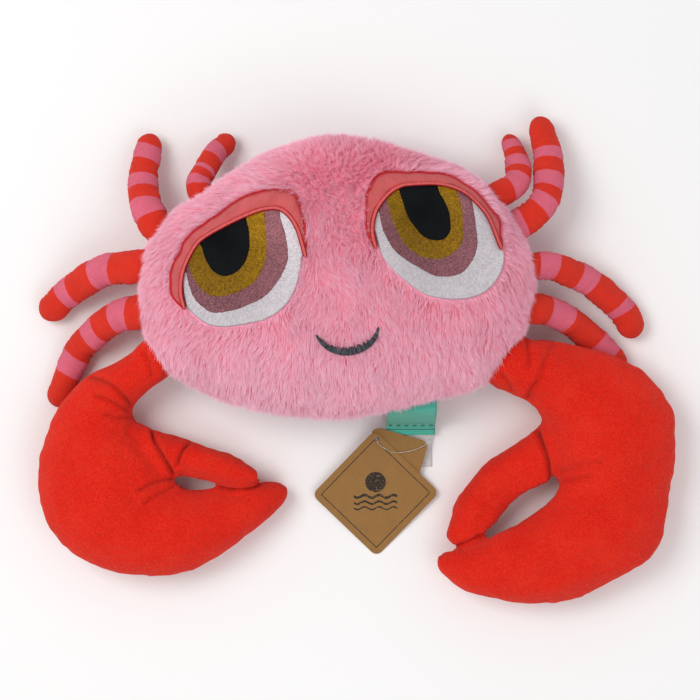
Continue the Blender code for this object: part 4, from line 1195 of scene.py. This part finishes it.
# A bar of satin stitch along a line on the face. Its section is half an oval, and each stitch is a ridge:
# the height goes up and down as a power of a sine of the length, which a slant shifts across the bar.
def makeStitching(name, curve, width, height, finish, node, lift=0.0004, tapered=False, pitch=0.0008,
                  jag=0.0):
    length = lengthOf(curve)
    rows = int(length / pitch * 3)
    along = np.linspace(0, length, rows)
    middle = placesAlong(curve, along)
    ahead = relaxRows(unit(np.gradient(middle, axis=0)), 8)
    ends = np.minimum(along, length - along) / (width * 0.9 + (length if tapered else 0))
    ends = np.sqrt(np.clip(ends, 0, 1))
    half = width / 2 * (0.25 + 0.75 * ends)
    if tapered:
        half = width / 2 * (0.12 + 0.88 * np.sin(np.linspace(0, math.pi, rows)) ** 0.6)
    turn = np.linspace(math.pi, 0, 8)
    draw = np.random.default_rng(len(name) + rows)
    wobble, loose = (np.repeat(draw.uniform(low, 1, rows // 3 + 2), 3)[:rows] for low in (-1, -0.4))
    out = np.cos(turn)[None] * (half * (1 + wobble * 0.06))[:, None]
    out += (jag * loose * ends)[:, None] * np.clip(np.cos(turn), 0, 1)[None]
    phase = along[:, None] / pitch * math.pi + 0.6 * np.cos(turn)[None]
    ridge = 0.84 + 0.16 * np.abs(np.sin(phase)) ** 0.7
    up = np.sin(turn)[None] ** 0.8 * height * np.minimum(1, half / (width * 0.3))[:, None] * ridge
    plan = middle[:, None] + leftOf(ahead)[:, None] * out[..., None]
    back = slice(2, -2, 3)
    lower = onFace(plan[:, ::-1][:, back], min(lift, 0) - 0.0004)
    rings = np.concatenate([onFace(plan, lift + up + 0.0001), lower], axis=1)
    bar = np.broadcast_to(np.concatenate([np.cos(turn), np.cos(turn)[::-1][back]]), rings.shape[:2])
    piece = closedTube(name, rings, along, values=dict(barAcross=bar))
    fit(piece, finish, [node])


# Smooths a row of vectors by the mean of each with its two neighbours.
def relaxRows(rows, times):
    for _ in range(times):
        rows = np.concatenate([rows[:1], (rows[:-2] + 2 * rows[1:-1] + rows[2:]) / 4, rows[-1:]])
    return rows


for number, (side, eye) in enumerate(eyes.items()):
    label = side.title()
    for layer, field in enumerate(("white", "mauve", "gold", "pupil")):
        makeField(label, eye, field, layer, 100 + 10 * number + layer)
    makeLid(label, eye, 140 + number)
    outer, inner = offsetCurve(eye["outer"], 0.0005), offsetCurve(eye["inner"], 0.0004)
    makeStitching("lidEdge" + label, outer, lids["outerWidth"], lids["outerHeight"], lidStitchFinish,
                  "lid_outer_stitching_" + side)
    makeStitching("lidBand" + label, inner, lids["innerWidth"], lids["innerHeight"], bandFinish,
                  "lid_inner_stitching_" + side, lift=0.0016)

mouth = dict(middle=(0.05, -0.452), width=0.0046, height=0.0012, grey=(0.062, 0.068, 0.080),
             curve=((-21, 4), (-16.5, -1.5), (-10.5, -5.6), (-2.5, -7.6), (6, -6.7), (14.3, -2.9),
                    (19.8, 3.4), (21.3, 9.5)))
mouthFinish = threadMaterial("threadGrey", mouth["grey"], 0.0006, 0.02, 0.5, 1.1, crosswise=True)
mouthLine = evenPoints(np.array(mouth["curve"]) * mm + np.array(mouth["middle"]) * bodyShape["halfSize"], 161)
makeStitching("mouthThread", mouthLine, mouth["width"], mouth["height"], mouthFinish, "mouth",
              lift=-0.0003, tapered=True, pitch=0.0005, jag=0.0028)
print("face")


# Each label's path goes out from the seam, in millimetres, and down, as a share of its height.
labels = dict(
    woven_label=dict(name="wovenLabel", width=0.0350, top=0.0420, rest=0.0068, slot="label_teal",
                     path=((-9, 1), (0, 1), (3.5, 0.943), (7, 0.744), (10, 0.46), (13, 0.176),
                           (17, 0.023), (21, 0))),
    care_label=dict(name="careLabel", width=0.0310, top=0.0408, rest=0.0006, slot="label_white",
                    path=((-9, 1), (0, 1), (2.5, 0.955), (5.8, 0.782), (8.8, 0.535), (12, 0.277),
                          (16.5, 0.144), (21, 0.099), (27, 0.03), (33, 0.005), (44, 0))),
)
labelFinish = dict(thickness=0.0006, teal=(0.075, 0.510, 0.385), ink=(0.045, 0.150, 0.120),
                   white=(0.800, 0.800, 0.780), bands=(0.0390, 0.0485), dotsAt=0.0438, dotGap=0.0058)


# Ribbon weave. The woven one has two thin bands of darker yarn across it and a row of dots between them.
def labelMaterial(name, colour, printed):
    material, n, shader = newMaterial(name, 0.55, sheen=0.2, specular=0.35)
    along, across = uvParts(n)
    rows, height = n.group(weaveGroup, along=along, across=across, yarn=0.0004, depth=0.22)
    grain, _ = n.group(grainGroup, point=objectPoint(n), grain=0.12, blotches=0.12)
    if printed:
        ink = 0.0
        for place in labelFinish["bands"]:
            ink = n.ramp(n.math("ABSOLUTE", along - place), 0.00055, 0.00035) + ink
        gap = labelFinish["dotGap"]
        step = (n.math("FRACT", across / gap) - 0.5) * gap
        off = n.math("POWER", step, 2.0) + n.math("POWER", along - labelFinish["dotsAt"], 2.0)
        ink = n.math("ADD", ink, n.ramp(n.math("SQRT", off), 0.0017, 0.0015), clamp=True)
        colour = n.mix(ink, colour, labelFinish["ink"])
    paint(n, shader, shaded(n, colour, rows * grain), height, 0.00012)
    return material


# A ribbon: its path out from the seam and down, carried across its width, with a slight curl and a wave.
def makeLabel(node, label, finish):
    steps = np.array(label["path"], float)
    path = np.column_stack([steps[:, 0] * mm, label["rest"] + (label["top"] - label["rest"]) * steps[:, 1]])
    route = evenPoints(path, 70)
    upward = leftOf(unit(np.gradient(route, axis=0)))
    shares = np.linspace(-0.5, 0.5, 17)
    along = np.linspace(0, lengthOf(route), len(route))
    free = fade(along, 0.012, 0.03) * (1 - fade(along, along[-1] - 0.012, along[-1]) * 0.6)
    wave = 0.00016 * free[:, None] * np.cos(shares * math.tau)[None]
    rim = 1 + 0.25 * np.exp(-((0.5 - np.abs(shares)) / 0.025) ** 2)
    rings = []
    for sign, order in ((1, slice(None)), (-1, slice(None, None, -1))):
        lift = (wave + sign * labelFinish["thickness"] / 2 * rim[None])[:, order]
        out = route[:, :1] + upward[:, :1] * lift
        up = route[:, 1:] + upward[:, 1:] * lift
        x = np.broadcast_to(labelPlace[0] + shares[order] * label["width"], lift.shape)
        rings.append(np.stack([x, labelPlace[1] - out, up], axis=2))
    piece = closedTube(label["name"], np.concatenate(rings, axis=1), along)
    fit(piece, finish, [node])
    print(label["name"], "flat", label["width"], round(float(along[-1]), 4))


makeLabel("woven_label", labels["woven_label"], labelMaterial("labelTeal", labelFinish["teal"], True))
makeLabel("care_label", labels["care_label"], labelMaterial("labelWhite", labelFinish["white"], False))


# The two cards of the tag: each one's place from the middle of the labels' seam, its turn and its side.
cards = dict(
    tag_front_card=dict(place=(-0.0250, -0.0631), turn=46, side=0.0645),
    tag_back_card=dict(place=(-0.0158, -0.0520), turn=-16, side=0.0410),
)
kraft = dict(card=(0.290, 0.150, 0.046), fleck=(0.170, 0.080, 0.022), ink=(0.028, 0.022, 0.018), frame=0.0048,
             waves=((-0.0020, 0.0009), (-0.0065, 0.0007), (-0.0105, 0.0005)), waveLength=0.0104,
             disc=(0.0, 0.0085, 0.004))


# Kraft card: flecks of fibre. The front has a frame line, a disc and three waves, in slightly worn ink.
def cardMaterial(name, card, printed):
    material, n, shader = newMaterial(name, 0.8, specular=0.25)
    turn, place = (0, 0, math.radians(card["turn"])), labelPlace + card["place"]
    point = n.turned(objectPoint(n), "TEXTURE", Location=(*place, 0), Rotation=turn)
    upright = n.turned(point, Rotation=turn)
    fibres = n.ramp(n.noise(n.turned(point, Scale=(1, 0.25, 1)), 1500, 3, 0.7), 0.56, 0.74)
    grain, fine = n.group(grainGroup, point=point, grainSize=0.0009, blotchSize=0.009, grain=0.28,
                          blotches=0.20)
    colour = n.mix(fibres * 0.4, kraft["card"], kraft["fleck"])
    if printed:
        x, y = n.split(point)
        edge = n.math("MAXIMUM", n.math("ABSOLUTE", x), n.math("ABSOLUTE", y))
        ink = n.ramp(n.math("ABSOLUTE", edge - (card["side"] / 2 - kraft["frame"])), 0.00045, 0.0002)
        x, y = n.split(upright)
        within = n.ramp(n.math("ABSOLUTE", x), 0.0157, 0.0155)
        swell = n.math("SINE", x * (math.tau / kraft["waveLength"])) * 0.0010
        for height, half in kraft["waves"]:
            gap = n.math("ABSOLUTE", y - height - swell)
            ink = n.math("MAXIMUM", ink, n.ramp(gap, half + 0.0002, half) * within)
        disc = n.add("VectorMath", operation="DISTANCE")
        n.set(disc.inputs[0], upright)
        disc.inputs[1].default_value = kraft["disc"]
        ink = n.math("MAXIMUM", ink, n.ramp(Value(n, disc.outputs["Value"]), 0.0078, 0.0074))
        colour = n.mix(ink * n.ramp(n.noise(point, 900), 0.30, 0.42), colour, kraft["ink"])
    paint(n, shader, shaded(n, colour, grain), fine, 0.00008)
    return material


for name, card in cards.items():
    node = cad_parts[name]
    node.data.materials.clear()
    node.data.materials.append(cardMaterial(name.replace("_", ""), card, name == "tag_front_card"))
print("cards")


# The floor's colour, the sky's strength, and each lamp: its place, power, size and colour.
room = dict(
    floor=(0.93, 0.93, 0.93), world=0.58, aim=(0.0, -0.04, 0.0),
    lamps=dict(key=((-0.85, 0.30, 1.6), 14.5, 0.9, (1.0, 0.99, 0.975)),
               filling=((0.6, -0.9, 1.5), 6.0, 1.2, (0.97, 0.985, 1.0))),
)


# A pale floor, a white sky seen by the camera and in reflections, and two broad soft lamps.
def makeRoom():
    floor = newPiece("floor", [(-4, -4, 0), (4, -4, 0), (4, 4, 0), (-4, 4, 0)], [(0, 1, 2, 3)])
    material, n, shader = newMaterial("floor", 0.9, specular=0.0)
    paint(n, shader, shaded(n, room["floor"], n.noise(objectPoint(n), 3) * 0.01 + 0.995))
    floor.data.materials.append(material)
    world = bpy.data.worlds.new("sky")
    bpy.context.scene.world = world
    world.use_nodes = True
    n = Nodes(world.node_tree)
    back = world.node_tree.nodes["Background"]
    rays = n.add("LightPath").outputs
    straight, glossy, through = (Value(n, rays[f"Is {kind} Ray"])
                                 for kind in ("Camera", "Glossy", "Transmission"))
    seen = n.math("MAXIMUM", straight, n.math("MAXIMUM", glossy, through))
    back.inputs["Color"].default_value = (1, 1, 1, 1)
    n.set(back.inputs["Strength"], n.ramp(seen, 0.0, 1.0, room["world"], 1.0))
    for name, (place, power, size, colour) in room["lamps"].items():
        lamp = bpy.data.lights.new(name, "AREA")
        lamp.energy, lamp.size, lamp.color = power, size, colour
        holder = bpy.data.objects.new(name, lamp)
        holder.location = place
        x, y, z = unit(np.array(room["aim"]) - place)
        holder.rotation_euler = (math.acos(-z), 0, math.atan2(y, x) - math.pi / 2)
        bpy.context.scene.collection.objects.link(holder)
    print("room")


makeRoom()
